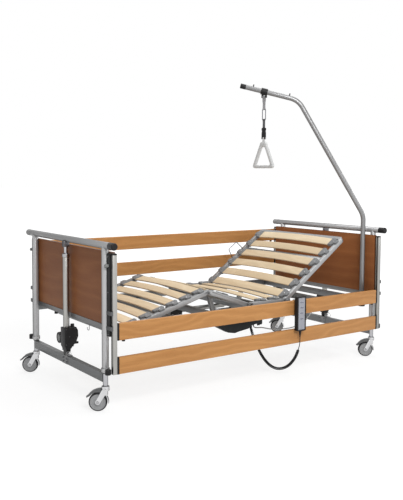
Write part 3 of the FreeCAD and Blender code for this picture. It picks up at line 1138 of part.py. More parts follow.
def trapeze():
    """Triangular handle, drawn in (width, z) and turned to the strap's width."""
    grip = HANDLE_GRIP
    w, t = HANDLE_WIDTH / 2, HANDLE_TOP_WIDTH / 2
    slope = (w - t) / (HANDLE_TOP_Z - HANDLE_FOOT_Z)
    outline = ((-t, HANDLE_TOP_Z), (t, HANDLE_TOP_Z), (w, HANDLE_FOOT_Z), (-w, HANDLE_FOOT_Z))
    body = profile(outline, -grip / 2, grip)
    body = fillet_along(body, ACROSS, 12)
    z_high, z_low = HANDLE_TOP_Z - HANDLE_WEB, HANDLE_FOOT_Z + grip

    def inner_half(z):
        return t + (HANDLE_TOP_Z - z) * slope - grip * 1.1

    hole = ((-inner_half(z_high), z_high), (inner_half(z_high), z_high), (inner_half(z_low), z_low),
            (-inner_half(z_low), z_low))
    opening = profile(hole, -grip, 2 * grip)
    opening = fillet_along(opening, ACROSS, 6)
    body = body.cut(opening)
    tongue = box(-tongue_half + FACE, tongue_half - FACE, -6, 6, HANDLE_TOP_Z - 4, HANDLE_PIN_Z)
    eye = rod(V(-tongue_half + FACE, 0, HANDLE_PIN_Z), V(tongue_half - FACE, 0, HANDLE_PIN_Z), 7.5)
    hole_pin = rod(V(-40, 0, HANDLE_PIN_Z), V(40, 0, HANDLE_PIN_Z), HANDLE_PIN_R + RUN)
    body = cut(fuse(body, tongue, eye), hole_pin)
    body.rotate(V(0, 0, 0), UP, STRAP_FACE_DEG)
    body.translate(V(pin_at.x, pin_at.y, 0))
    return body


save("trapeze_handle", trapeze())


# ---------------------------------------------------------------- handset
hx0, hx1 = HANDSET_X - HANDSET_WIDTH / 2, HANDSET_X + HANDSET_WIDTH / 2
case = box(hx0, hx1, HANDSET_FRONT_Y, HANDSET_BACK_Y, HANDSET_FOOT_Z, HANDSET_TOP_Z)
case = fillet_along(case, ACROSS, 8)
relief = Part.makeCone(LEAD_R + 1.5, RELIEF_TOP_R, RELIEF_LENGTH,
                       V(HANDSET_X, (HANDSET_FRONT_Y + HANDSET_BACK_Y) / 2, HANDSET_FOOT_Z - RELIEF_LENGTH))
hook_y = -(GUIDE_Y - BAR_THICKNESS / 2)
hook_z = UPPER_BAR_TOP_Z + FACE
hook_top = box(HANDSET_X - HOOK_WIDTH / 2, HANDSET_X + HOOK_WIDTH / 2, HANDSET_BACK_Y - 2, hook_y + FACE + HOOK_WALL,
               hook_z, hook_z + HOOK_WALL)
hook_lip = box(HANDSET_X - HOOK_WIDTH / 2, HANDSET_X + HOOK_WIDTH / 2, hook_y + FACE, hook_y + FACE + HOOK_WALL,
               hook_z - HOOK_LIP, hook_z + HOOK_WALL)
frame_in = HANDSET_FRAME
pocket = box(hx0 + frame_in, hx1 - frame_in, HANDSET_FRONT_Y, HANDSET_FRONT_Y + HANDSET_FACE,
             HANDSET_FOOT_Z + frame_in, HANDSET_TOP_Z - frame_in)
save("handset", fuse(case, relief, hook_top, hook_lip).cut(pocket), pocket)

lead_y = (HANDSET_FRONT_Y + HANDSET_BACK_Y) / 2
lead_top = HANDSET_FOOT_Z - RELIEF_LENGTH
# the curly cord hangs from the lead, under the lower bar and up to the control box
COIL_ROUTE = [V(254, -566, 174), V(252.3, -558, 150), V(248.6, -546, 122), V(242.6, -528, 93), V(234, -507, 66),
              V(220, -482, 45.5), V(202, -456, 35), V(184.7, -428, 35.5), V(172, -396, 48), V(165.5, -361, 69),
              V(164.5, -328, 94), V(166, -298, 120), V(169, -270, 149), V(171.5, -246, 180), V(171.5, -226, 209),
              V(169.5, -211, 236), V(168, -204, 259)]
lead_in = (COIL_ROUTE[0] - COIL_ROUTE[1]).normalize()
LEAD_ROUTE = [V(HANDSET_X, lead_y, lead_top), V(HANDSET_X, lead_y, lead_top - 19), V(263, -569.5, 211),
              COIL_ROUTE[0] + lead_in * 19, COIL_ROUTE[0]]
cable_end = V(LIFT_X - GEAR_NOSE - 12, 0, CABLE_GLAND_Z)
CABLE_ROUTE = [V(189, -203, 280), V(191, -202, 266), V(205, -198, 253), V(238, -190, 247), V(283, -179, 242),
               V(338, -163, 226), V(410, -140, 207), V(500, -114, 191), V(600, -84, 180), V(695, -55, 175),
               V(780, -32, 182), V(848, -15, 203), V(897, -5, 236), V(927, -1, 262), cable_end - ALONG * 26,
               cable_end]
save("handset_lead", cord("lead", LEAD_ROUTE, LEAD_R))
save("handset_curly_cord", cord("curly cord", COIL_ROUTE, COIL_R))
save("lift_cable", cord("lift cable", CABLE_ROUTE, CABLE_R))
coil_out = (COIL_ROUTE[-1] - COIL_ROUTE[-2]).normalize()
cable_out = (CABLE_ROUTE[0] - CABLE_ROUTE[1]).normalize()
glands = [rod(COIL_ROUTE[-1], COIL_ROUTE[-1] + coil_out * COIL_GLAND, COIL_R),
          rod(CABLE_ROUTE[0], CABLE_ROUTE[0] + cable_out * CABLE_GLAND_R, CABLE_GLAND_R)]
save("control_box", fuse(control, inlet, *glands))
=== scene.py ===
"""Dresses the adjustable care bed: finishes, soft edges, slats, fasteners, cords, camera and light.

Lengths in the tables below are millimetres on the bed's own drawing, whose X = 0 lies midway between
the uprights. at() turns them into metres in the row frame."""
import json
import math
from collections import namedtuple

import bmesh
import bpy
from mathutils import Matrix, Vector

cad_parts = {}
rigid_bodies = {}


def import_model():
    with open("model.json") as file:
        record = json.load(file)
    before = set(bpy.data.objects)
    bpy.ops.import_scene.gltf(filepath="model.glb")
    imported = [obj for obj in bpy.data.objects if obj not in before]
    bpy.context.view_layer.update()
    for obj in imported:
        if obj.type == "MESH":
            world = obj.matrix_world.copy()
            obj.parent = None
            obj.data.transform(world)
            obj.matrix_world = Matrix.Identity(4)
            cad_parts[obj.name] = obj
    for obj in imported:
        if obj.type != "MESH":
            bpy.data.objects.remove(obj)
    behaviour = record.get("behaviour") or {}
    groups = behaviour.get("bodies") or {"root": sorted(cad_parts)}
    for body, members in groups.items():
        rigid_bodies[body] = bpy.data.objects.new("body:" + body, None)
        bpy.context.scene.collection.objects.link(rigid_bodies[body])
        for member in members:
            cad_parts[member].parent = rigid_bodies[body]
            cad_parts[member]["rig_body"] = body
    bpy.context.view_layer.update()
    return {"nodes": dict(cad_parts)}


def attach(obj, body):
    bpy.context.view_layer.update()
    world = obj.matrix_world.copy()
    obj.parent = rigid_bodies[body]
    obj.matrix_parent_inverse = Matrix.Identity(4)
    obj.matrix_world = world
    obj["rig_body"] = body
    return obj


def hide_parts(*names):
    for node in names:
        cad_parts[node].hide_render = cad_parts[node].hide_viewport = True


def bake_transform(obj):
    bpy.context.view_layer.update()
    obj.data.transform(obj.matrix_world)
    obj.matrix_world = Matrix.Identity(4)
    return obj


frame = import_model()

bl_info = {
    "name": "Adjustable Care Bed",
    "version": (1, 0, 0),
    "blender": (4, 5, 0),
    "location": "View3D > Sidebar > Care Bed",
    "description": "Builds the finishes, fine pieces, cords and studio of an adjustable care bed",
    "category": "Object",
}

NODES = frame["nodes"]
MM = 0.001
FRAME_SHIFT = 0.030294     # from the bed's drawing to the row frame, along X
UP = Vector((0, 0, 1))
NEAR, FAR = -1, 1
FOOT, HEAD = -1, 1
BOTH = (-1, 1)
ENDS = {"foot": FOOT, "head": HEAD}
SIDES = {"near": NEAR, "far": FAR}
WHITE = (1.0, 1.0, 1.0, 1.0)

# softening of the solids
MERGE_DISTANCE = 2e-6                # metres
FLAT_ANGLE = math.radians(0.6)       # faces that meet at less are one face
SHARP_ANGLE = math.radians(38)       # edges that turn more are rounded
SMOOTH_ANGLE = math.radians(32)      # faces that meet at less are shaded as one
THIN_SHARE = 0.16                    # the most rounding, as a share of a solid's least side
LEAST_ROUNDING = 0.2                 # millimetres
DRIVE_EDGE = 0.0022                  # edge radii of single pieces, in metres
PEDAL_EDGE = 0.002
PANEL_EDGE = 0.0018
CLAMP_EDGE = 0.0018
LATCH_EDGE = 0.0016
BAR_END_EDGE = 0.001

# end frames and lifts
END_X = 1040.0
SIDE_Y = 464.0
UPRIGHT_R = 19.0
UPRIGHT_BOLT_Z = 422.0
TOP_TUBE_Z = 885.0
TOP_TUBE_R = 19.0
CROSSBAR_Z = (157.0, 204.0)
INNER_R = 14.0
WELD_OUT = 0.4
WELD_BEAD = (3.4, 3.0, 2.2)
LIFT_X = 1048.0
GEAR_HALF = 29.0
MOTOR_END_X = 1068.0
MOTOR_Y = 61.5
MOTOR_Z = 300.0
MOTOR_SCREW_R = 28.4
LATCH_X = 1041.0
LATCH_Y = 495.7
LATCH_SCREW_Z = (828.0, 640.0, 418.0)
BAND_SCREW_Y = (494.0, 529.0)
BAND_SCREW_Z = (532.0, 452.0)
SADDLE_HALF = 18.0
SADDLE_BOLT_Y = (-21.0, 21.0)
SADDLE_BOLT_Z = (171.0, 191.0)

# casters
TRAIL = math.radians(144.5)
TRAIL_WAY = Vector((math.cos(TRAIL), math.sin(TRAIL), 0))
AXLE_WAY = Vector((-math.sin(TRAIL), math.cos(TRAIL), 0))
CASTER_OFFSET = 40.0
WHEEL_R = 50.0
WHEEL_HALF = 14.0
TYRE_R = 42.5
HUB_R = 15.0
HUB_HALF = 15.2
AXLE_BORE = 5.06
FORK_OUT = 18.5
CROWN_OUT = 20.4

# platform
SIDE_RAIL_Y = 476.5
CROSS_X = (-560.0, -300.0, 40.0, 130.0, 600.0, 850.0)
CROSS_Z = (405.0, 445.0)
CROSS_HALF = 12.5
CHASSIS_IN_Y = 451.5
HINGE_Z = 461.0
HINGE_X = (270.0, -33.0)
HINGE_NUT_Y = 402.0
KNEE_SCREW_Y = 368.0
DRIVE_PINS = ((-300.0, 70.0, 371.0), (600.0, -70.0, 371.5))
DRIVE_PIN_HALF = 18.1
DRIVE_COVERS = {"back_drive": (FAR, (-279.0, -212.0), (353.0, 389.0)),      # side, and screws' X and Z
                "leg_drive": (NEAR, (506.0, 579.0), (353.5, 389.5))}
DRIVE_COVER_Y = 46.0
RAIL_WIDTH = 26.0
SLAT_WIDTH = 64.0
SLAT_THICKNESS = 9.0
SLAT_CROWN = 12.0
SLAT_BASE = 6.5
SLAT_END_IN = 22.0
HOLDER_WIDTH = 71.0
HOLDER_LENGTH = 44.0
HOLDER_Z = (3.5, 21.0)
RAIL_TOP = 13.0
Section = namedtuple("Section", "body x z lift run half stations")
SECTIONS = {
    "back": Section("back_section", 270.0, HINGE_Z, 35.5, 1, 428.0, [42.0 + 107.2 * k for k in range(6)]),
    "seat": Section("main_frame", 0.0, HINGE_Z, 0.0, 1, 428.0, [204.8, 97.6]),
    "thigh": Section("thigh_section", -33.0, HINGE_Z, -20.0, -1, 428.0, [83.0, 190.2]),
    "leg": Section("leg_section", -314.908, 563.606, 16.0, -1, 400.0, [46.0 + 95.0 * k for k in range(6)]),
}

# control box and handset
CONTROL_SIDE = ((-125.0, 318.0), (-125.0, 300.0), (-31.0, 252.0), (20.0, 243.0), (61.0, 250.0),
                (134.0, 259.0), (165.0, 279.0), (213.0, 284.0), (223.0, 275.0), (250.0, 273.0),
                (250.0, 318.0))
CONTROL_Y = (-225.0, -180.0)
CONTROL_SEAM = 1.2
HANDSET_X = (233.0, 305.0)
HANDSET_MIDDLE = sum(HANDSET_X) / 2
HANDSET_Y = (-578.0, -550.0)
HANDSET_Z = (291.0, 508.0)
HANDSET_FRAME = 9.0
HANDSET_SUNK = 1.8
KEY_COLUMNS = (-9.0, 9.0)
KEY_ROWS = (470.0, 437.0, 403.0, 368.0)
KEY_R = 7.5
RELIEF_Z = 251.0
RELIEF_R = (9.0, 4.1)

# pole and strap
STRAP_PIN = Vector((447.2, 14.9, 1795.3))
STRAP_FACE = math.radians(97.0)
STRAP_WIDE = Vector((math.cos(STRAP_FACE), math.sin(STRAP_FACE), 0))
STRAP_THICK = UP.cross(STRAP_WIDE)
STRAP_LAYER = 1.7
FOLD_GAP = 1.15
FOLD_IN = 9.0       # height of a fold's bend
FOLD_SUNK = 9.0     # how far the lower fold reaches into the buckle
RING_BARS = (1709.0, 1639.0)
BUCKLE_TOP_Z = 1583.0
BUCKLE_FOOT_Z = 1525.0
YOKE_FOOT_Z = 1504.0
HANDLE_PIN_Z = 1512.0
HANDLE_TOP = (22.0, 1488.0)     # half width and height
HANDLE_FOOT = (103.0, 1304.0)
HANDLE_HALF = 10.6

# cords: thickness in metres, and routes on the drawing
LEAD_THICKNESS = 0.0052
COIL_THICKNESS = 0.020
CABLE_THICKNESS = 0.0080
LEAD_ROUTE = ((269, -564, 251), (269, -564, 232), (263, -569.5, 211), (255.27, -572.0, 191.99),
              (254, -566, 174))
COIL_ROUTE = ((254, -566, 174), (252.3, -558, 150), (248.6, -546, 122), (242.6, -528, 93),
              (234, -507, 66), (220, -482, 45.5), (202, -456, 35), (184.7, -428, 35.5),
              (172, -396, 48), (165.5, -361, 69), (164.5, -328, 94), (166, -298, 120),
              (169, -270, 149), (171.5, -246, 180), (171.5, -226, 209), (169.5, -211, 236),
              (168, -204, 259))
CABLE_ROUTE = ((189, -203, 280), (191, -202, 266), (205, -198, 253), (238, -190, 247),
               (283, -179, 242), (338, -163, 226), (410, -140, 207), (500, -114, 191),
               (600, -84, 180), (695, -55, 175), (780, -32, 182), (848, -15, 203),
               (897, -5, 236), (927, -1, 262), (948, 0, 272), (974, 0, 272))


def at(x, y, z):
    """Point of the drawing, in metres in the row frame."""
    return Vector((x * MM + FRAME_SHIFT, y * MM, z * MM))


def corners():
    for end_name, end in ENDS.items():
        for side_name, side in SIDES.items():
            yield end_name + "_" + side_name, end, side


def on_section(section, s, y, z):
    """Drawing point of a place on a section: s from its hinge, z above its rails' centre line."""
    lift = math.radians(section.lift)
    x = section.run * s
    return Vector((section.x + x * math.cos(lift) - z * math.sin(lift), y,
                   section.z + x * math.sin(lift) + z * math.cos(lift)))


# ------------------------------------------------------------------ settings
def colour(name, value, text):
    return bpy.props.FloatVectorProperty(name=name, description=text, subtype="COLOR", size=4,
                                         min=0.0, max=1.0, default=(*value, 1.0))


def length(name, value, text):
    return bpy.props.FloatProperty(name=name, description=text, default=value, min=0.0,
                                   subtype="DISTANCE", unit="LENGTH", precision=4)


def power(name, value, text):
    return bpy.props.FloatProperty(name=name, description=text, default=value, min=0.0, unit="POWER")


class BedStudioSettings(bpy.types.PropertyGroup):
    """Camera, light and floor."""
    floor: colour("Floor", (0.86, 0.86, 0.86), "Colour of the studio floor")
    room: bpy.props.FloatProperty(name="Room light", description="Strength of the even light all round",
                                  default=0.20, min=0.0)
    key: power("Key light", 192.0, "Power of the large lamp above the camera")
    fill: power("Fill light", 50.0, "Power of the lamp at the right")
    top: power("Top light", 115.0, "Power of the lamp overhead")
    lens: bpy.props.FloatProperty(name="Lens", description="Focal length of the camera in millimetres",
                                  default=52.096, min=1.0)


class BedFinishSettings(bpy.types.PropertyGroup):
    """Colours of the finishes."""
    silver: colour("Silver paint", (0.49, 0.49, 0.495), "Satin paint of the end frames and the pole")
    platform: colour("Platform paint", (0.42, 0.425, 0.43), "Satin paint of the hinged frames")
    grey: colour("Grey paint", (0.22, 0.225, 0.23), "Satin paint of the chassis and the crossbars")
    panel_light: colour("Panel light", (0.37, 0.140, 0.050), "Pale grain of the end panels")
    panel_dark: colour("Panel dark", (0.235, 0.082, 0.029), "Dark grain of the end panels")
    bar_light: colour("Bar light", (0.61, 0.305, 0.108), "Pale grain of the side bars")
    bar_dark: colour("Bar dark", (0.425, 0.190, 0.060), "Dark grain of the side bars")
    slat_light: colour("Slat light", (0.82, 0.675, 0.465), "Pale grain of the slats")
    slat_dark: colour("Slat dark", (0.65, 0.505, 0.325), "Dark grain of the slats")
    plastic: colour("Black plastic", (0.012, 0.0115, 0.012), "Moulded housings and caps")
    handset: colour("Handset face", (0.36, 0.37, 0.41), "Keypad foil of the handset")
    wear: bpy.props.FloatProperty(name="Wear", description="How worn the finishes are", subtype="FACTOR",
                                  default=0.35, min=0.0, max=1.0)


class BedDetailSettings(bpy.types.PropertyGroup):
    """Sizes of the fine pieces."""
    edge: length("Edge radius", 0.0012, "Rounding of the metal and plastic edges")
    wood_edge: length("Wood edge radius", 0.0035, "Rounding of the wooden edges")
    slat_edge: length("Slat edge radius", 0.003, "Rounding of the slats")
    coil_wire: length("Coil wire", 0.0046, "Thickness of the curly cord's wire")
    coil_pitch: length("Coil pitch", 0.0064, "Distance between the curly cord's turns")
    stitch: length("Stitch pitch", 0.003, "Distance between the strap's stitches")
    weld: length("Weld pitch", 0.0024, "Distance between the ripples of a weld seam")
    rib: length("Rib pitch", 0.009, "Distance between the motors' cooling ribs")


SETTINGS = {"bed_studio": BedStudioSettings, "bed_finish": BedFinishSettings,
            "bed_detail": BedDetailSettings}


# ------------------------------------------------------------------ node writing
class Net:
    """Places and joins the nodes of one tree."""

    def __init__(self, tree):
        self.tree = tree

    def node(self, kind, sockets=None, **settings):
        made = self.tree.nodes.new(kind)
        for key, value in settings.items():
            setattr(made, key, value)
        self.fill(made, sockets or {})
        return made

    def fill(self, node, sockets):
        for key, value in sockets.items():
            self.feed(node.inputs[key], value)

    def feed(self, socket, value):
        if isinstance(value, bpy.types.NodeSocket):
            self.tree.links.new(value, socket)
        else:
            socket.default_value = value

    def value(self, kind, sockets=None, output=0, **settings):
        """One output of a new node."""
        return self.node(kind, sockets, **settings).outputs[output]

    def math(self, operation, a, b=0.0, clamp=False):
        return self.value("ShaderNodeMath", {0: a, 1: b}, operation=operation, use_clamp=clamp)

    def times(self, a, b, clamp=False):
        return self.math("MULTIPLY", a, b, clamp)

    def plus(self, a, b, clamp=False):
        return self.math("ADD", a, b, clamp)

    def wave(self, a, b):
        return self.math("SINE", self.times(a, b))

    def mix(self, factor, a, b):
        return self.value("ShaderNodeMix", {0: factor, 6: a, 7: b}, 2, data_type="RGBA")

    def ramp(self, factor, low, high):
        """0 below low and 1 above high, with a soft step between."""
        return self.value("ShaderNodeMapRange", {"Value": factor, "From Min": low, "From Max": high},
                          interpolation_type="SMOOTHSTEP")

    def noise(self, vector, scale, detail=2.0, roughness=0.5):
        return self.value("ShaderNodeTexNoise", {"Vector": vector, "Scale": scale, "Detail": detail,
                                                 "Roughness": roughness})

    def mapped(self, vector, scale, rotation=(0.0, 0.0, 0.0), location=(0.0, 0.0, 0.0)):
        return self.value("ShaderNodeMapping", {"Vector": vector, "Scale": scale, "Rotation": rotation,
                                                "Location": location})

    def parts(self, vector):
        return self.node("ShaderNodeSeparateXYZ", {0: vector}).outputs

    def joined(self, x, y, z):
        return self.value("ShaderNodeCombineXYZ", {0: x, 1: y, 2: z})

    def group(self, name, sockets):
        made = self.tree.nodes.new("ShaderNodeGroup")
        made.node_tree = bpy.data.node_groups[name]
        self.fill(made, sockets)
        return made.outputs


def new_tree(name, kind, inputs, outputs):
    """An empty node group; inputs and outputs are (name, kind) or (name, kind, default)."""
    tree = bpy.data.node_groups.new(name, kind)
    for way, sockets in (("INPUT", inputs), ("OUTPUT", outputs)):
        for label, sort, *default in sockets:
            socket = tree.interface.new_socket(label, in_out=way, socket_type="NodeSocket" + sort)
            if default:
                socket.default_value = default[0]
    return Net(tree), tree.nodes.new("NodeGroupInput").outputs, tree.nodes.new("NodeGroupOutput").inputs


def effect(name, inputs, *outputs):
    """A shader group that reads a place, besides its own inputs."""
    return new_tree(name, "ShaderNodeTree", [("Vector", "Vector"), *inputs], outputs)


def tone_effect():
    """Broad and fine unevenness of a painted or moulded surface."""
    net, given, out = effect("Bed Tone", [("Scale", "Float", 6.0)], ("Broad", "Float"), ("Fine", "Float"))
    net.feed(out["Broad"], net.noise(given["Vector"], given["Scale"], 3.0, 0.55))
    net.feed(out["Fine"], net.noise(given["Vector"], net.times(given["Scale"], 60.0), 2.0, 0.6))


def wear_effect():
    """Small scuffs and rubbed spots."""
    net, given, out = effect("Bed Wear", [("Amount", "Float", 0.3)], ("Mask", "Float"))
    patches = net.ramp(net.noise(given["Vector"], 9.0, 4.0, 0.6), 0.52, 0.72)
    streaks = net.noise(net.mapped(given["Vector"], (90.0, 260.0, 60.0)), 1.0, 5.0, 0.7)
    scuffs = net.times(patches, net.ramp(streaks, 0.56, 0.74))
    net.feed(out["Mask"], net.times(scuffs, given["Amount"], clamp=True))


def dust_effect():
    """Thin dust on what faces up."""
    net, given, out = effect("Bed Dust", [("Amount", "Float", 0.1)], ("Mask", "Float"))
    up = net.parts(net.node("ShaderNodeNewGeometry").outputs["Normal"])["Z"]
    spread = net.ramp(net.noise(given["Vector"], 22.0, 4.0, 0.65), 0.3, 0.8)
    net.feed(out["Mask"], net.times(net.times(net.ramp(up, 0.2, 0.95), spread), given["Amount"]))


def wood_effect():
    """Long grain along the vector's X: growth bands, fibres and pores."""
    net, given, out = effect(
        "Bed Wood", [("Bands", "Float", 16.0), ("Light", "Color", (0.6, 0.4, 0.2, 1.0)),
                     ("Dark", "Color", (0.4, 0.2, 0.1, 1.0)), ("Pores", "Float", 0.5),
                     ("Shift", "Float", 0.0)],
        ("Color", "Color"), ("Height", "Float"), ("Polish", "Float"))
    place = given["Vector"]
    drift = net.noise(net.mapped(place, (1.6, 5.0, 5.0)), 1.0, 3.0, 0.5)
    fibres = net.noise(net.mapped(place, (7.0, 330.0, 330.0)), 1.0, 4.0, 0.65)
    clouds = net.noise(net.mapped(place, (1.1, 7.0, 7.0), location=(3.0, 1.0, 2.0)), 1.0, 2.0)
    pores = net.ramp(net.noise(net.mapped(place, (38.0, 900.0, 900.0)), 1.0, 1.0), 0.66, 0.78)
    pores = net.times(pores, given["Pores"])
    parts = net.parts(place)
    across = net.plus(parts["Y"], net.times(parts["Z"], 0.8))
    phase = net.times(net.plus(across, net.times(drift, 0.22)), given["Bands"])
    bands = net.math("ABSOLUTE", net.wave(phase, 6.283))
    tone = net.plus(net.times(bands, 0.38), net.times(clouds, 0.55))
    tone = net.plus(tone, net.times(net.math("SUBTRACT", fibres, 0.5), 0.8))
    base = net.mix(net.plus(tone, given["Shift"], clamp=True), given["Light"], given["Dark"])
    deep = net.mix(0.72, base, (0.05, 0.02, 0.01, 1.0))
    net.feed(out["Color"], net.mix(pores, base, deep))
    net.feed(out["Height"], net.math("SUBTRACT", net.times(fibres, 0.5), pores))
    net.feed(out["Polish"], net.plus(net.times(clouds, 0.5), fibres))


def weave_effect():
    """Over-and-under threads; the vector runs along and across the band."""
    net, given, out = effect("Bed Weave", [("Threads", "Float", 700.0)], ("Thread", "Float"),
                             ("Height", "Float"))
    parts = net.parts(given["Vector"])
    turns = net.times(given["Threads"], math.pi)
    crossing = net.times(net.wave(parts["X"], turns), net.wave(parts["Y"], turns))
    net.feed(out["Thread"], net.plus(net.times(crossing, 0.5), 0.5))
    net.feed(out["Height"], net.math("ABSOLUTE", crossing))


def brushed_effect():
    """Fine drawn lines along the vector's X."""
    net, given, out = effect("Bed Brushed", [("Scale", "Float", 1.0)], ("Line", "Float"))
    drawn = net.mapped(given["Vector"], (12.0, 1500.0, 1500.0))
    net.feed(out["Line"], net.noise(drawn, given["Scale"], 3.0, 0.7))


# ------------------------------------------------------------------ materials
def finished(name):
    """The material of a finish."""
    return bpy.data.materials["bed_" + name]


def emptied(owner):
    """The emptied tree of a material or a world."""
    owner.use_nodes = True
    owner.node_tree.nodes.clear()
    return Net(owner.node_tree)


def blank(name):
    """A new material with only its surface shader; gives its net, shader and place."""
    net = emptied(bpy.data.materials.new("bed_" + name))
    shader = net.node("ShaderNodeBsdfPrincipled")
    net.node("ShaderNodeOutputMaterial", {"Surface": shader.outputs[0]})
    return net, shader, net.node("ShaderNodeTexCoord").outputs["Object"]


def bumps(net, height, strength, distance=0.0006):
    return net.value("ShaderNodeBump", {"Height": height, "Strength": strength, "Distance": distance})


def toned(value, factor=1.0):
    """A colour made lighter or darker."""
    return (*[min(1.0, c * factor) for c in value[:3]], 1.0)


def mottled(net, pattern, base, low, high):
    return net.mix(pattern, toned(base, low), toned(base, high))


def masks(net, place, wear, dust=0.06):
    """Where the surface is rubbed, and where dust lies."""
    rubbed = net.group("Bed Wear", {"Vector": place, "Amount": wear})["Mask"]
    return rubbed, net.group("Bed Dust", {"Vector": place, "Amount": dust})["Mask"]


def roughened(net, base, pattern, spread, mask, rise):
    """A roughness that follows a pattern and rises where the mask is."""
    return net.plus(net.plus(net.times(pattern, spread), base), net.times(mask, rise), clamp=True)


def flop_and_painted_edge_shade(net, shade, dark, amount):
    """Darkens the colour where the surface curves away from the view. This is partly the real flop of flake
    paint and plating, and partly a painted reflection of dark surroundings.
    """
    facing = net.node("ShaderNodeLayerWeight", {"Blend": 0.5}).outputs["Facing"]
    return net.mix(net.times(net.ramp(facing, 0.15, 0.75), amount), shade, dark)


def painted(name, base, metallic, roughness, wear, gloss=0.3, flop_and_edge_shade=0.55):
    """Satin flake paint with a fine orange peel, rubbed spots and thin dust."""
    net, shader, place = blank(name)
    tone = net.group("Bed Tone", {"Vector": place, "Scale": 7.0})
    rubbed, dust = masks(net, place, wear)
    shade = net.mix(rubbed, mottled(net, tone["Broad"], base, 0.92, 1.07), toned(base, 0.55))
    shade = net.mix(dust, shade, toned(base, 1.3))
    # The base colour darkens where the paint turns away from the view: the flake flop, plus a painted
    # reflection of dark surroundings.
    net.fill(shader, {"Base Color": flop_and_painted_edge_shade(net, shade, toned(base, 0.22), flop_and_edge_shade), "Metallic": metallic,
                      "Specular IOR Level": gloss, "Normal": bumps(net, tone["Fine"], 0.10),
                      "Roughness": roughened(net, roughness - 0.06, tone["Broad"], 0.12,
                                             net.plus(rubbed, dust), 0.3)})


def bare_metal(name, base, roughness, wear, lines=0.2, turn=(0.0, 0.0, 0.0)):
    """Plated or drawn metal with faint lines and handling marks; turn brings the lines onto X."""
    net, shader, place = blank(name)
    tone = net.group("Bed Tone", {"Vector": place, "Scale": 12.0})
    drawn = net.mapped(place, (1.0, 1.0, 1.0), turn)
    line = net.group("Bed Brushed", {"Vector": drawn, "Scale": 1.0})["Line"]
    rubbed = net.group("Bed Wear", {"Vector": place, "Amount": wear})["Mask"]
    shade = net.mix(rubbed, mottled(net, tone["Broad"], base, 0.88, 1.08), toned(base, 0.5))
    # The base colour darkens where the metal turns away from the view: the plating's flop, plus a painted
    # reflection of dark surroundings.
    net.fill(shader, {"Base Color": flop_and_painted_edge_shade(net, shade, toned(base, 0.25), 0.75), "Metallic": 1.0,
                      "Specular Tint": (0.5, 0.5, 0.5, 1.0),
                      "Roughness": roughened(net, roughness - lines / 2, line, lines, rubbed, 0.35),
                      "Normal": bumps(net, line, 0.05 + lines * 0.2, 0.0002)})


def moulded(name, base, roughness, grain=0.25, wear=0.2, gloss=0.22):
    """Plastic or rubber with a spark-eroded grain."""
    net, shader, place = blank(name)
    tone = net.group("Bed Tone", {"Vector": place, "Scale": 22.0})
    rubbed, dust = masks(net, place, wear, 0.08)
    shade = net.mix(rubbed, mottled(net, tone["Broad"], base, 0.85, 1.15), toned(base, 1.5))
    net.fill(shader, {"Base Color": net.mix(dust, shade, toned(base, 2.2)), "Specular IOR Level": gloss,
                      "Roughness": roughened(net, roughness - 0.1, tone["Fine"], 0.2, dust, 0.4),
                      "Normal": bumps(net, tone["Fine"], grain, 0.0004)})


def timber(name, light, dark, turn, bands, pores, roughness, gloss, varied=0.0):
    """Varnished wood; turn brings the grain's direction onto the pattern's X. varied is how far the
    pieces of a row differ, each by its own tone."""
    net, shader, place = blank(name)
    sockets = {"Vector": net.mapped(place, (1.0, 1.0, 1.0), turn), "Bands": bands, "Light": toned(light),
               "Dark": toned(dark), "Pores": pores}
    if varied:
        tone = net.node("ShaderNodeAttribute", attribute_name="tone").outputs["Fac"]
        sockets["Shift"] = net.times(net.math("SUBTRACT", tone, 0.5), varied)
    grain = net.group("Bed Wood", sockets)
    rubbed, dust = masks(net, place, 0.25)
    shade = net.mix(rubbed, grain["Color"], toned(light, 1.15))
    net.fill(shader, {"Base Color": net.mix(dust, shade, toned(light, 1.25)), "Specular IOR Level": gloss,
                      "Roughness": roughened(net, roughness - 0.1, grain["Polish"], 0.14, dust, 0.4),
                      "Normal": bumps(net, grain["Height"], 0.12, 0.0003)})


def webbing(name, base):
    """Woven band, seen along its own map."""
    net, shader, place = blank(name)
    band = net.value("ShaderNodeUVMap", uv_map="band")
    weave = net.group("Bed Weave", {"Vector": band, "Threads": 900.0})
    tone = net.group("Bed Tone", {"Vector": place, "Scale": 40.0})
    shade = mottled(net, weave["Thread"], base, 0.7, 1.25)
    net.fill(shader, {"Base Color": net.mix(net.times(tone["Broad"], 0.5), shade, toned(base)),
                      "Roughness": net.plus(net.times(weave["Height"], 0.12), 0.74),
                      "Sheen Weight": 0.25, "Normal": bumps(net, weave["Height"], 0.5, 0.0005)})


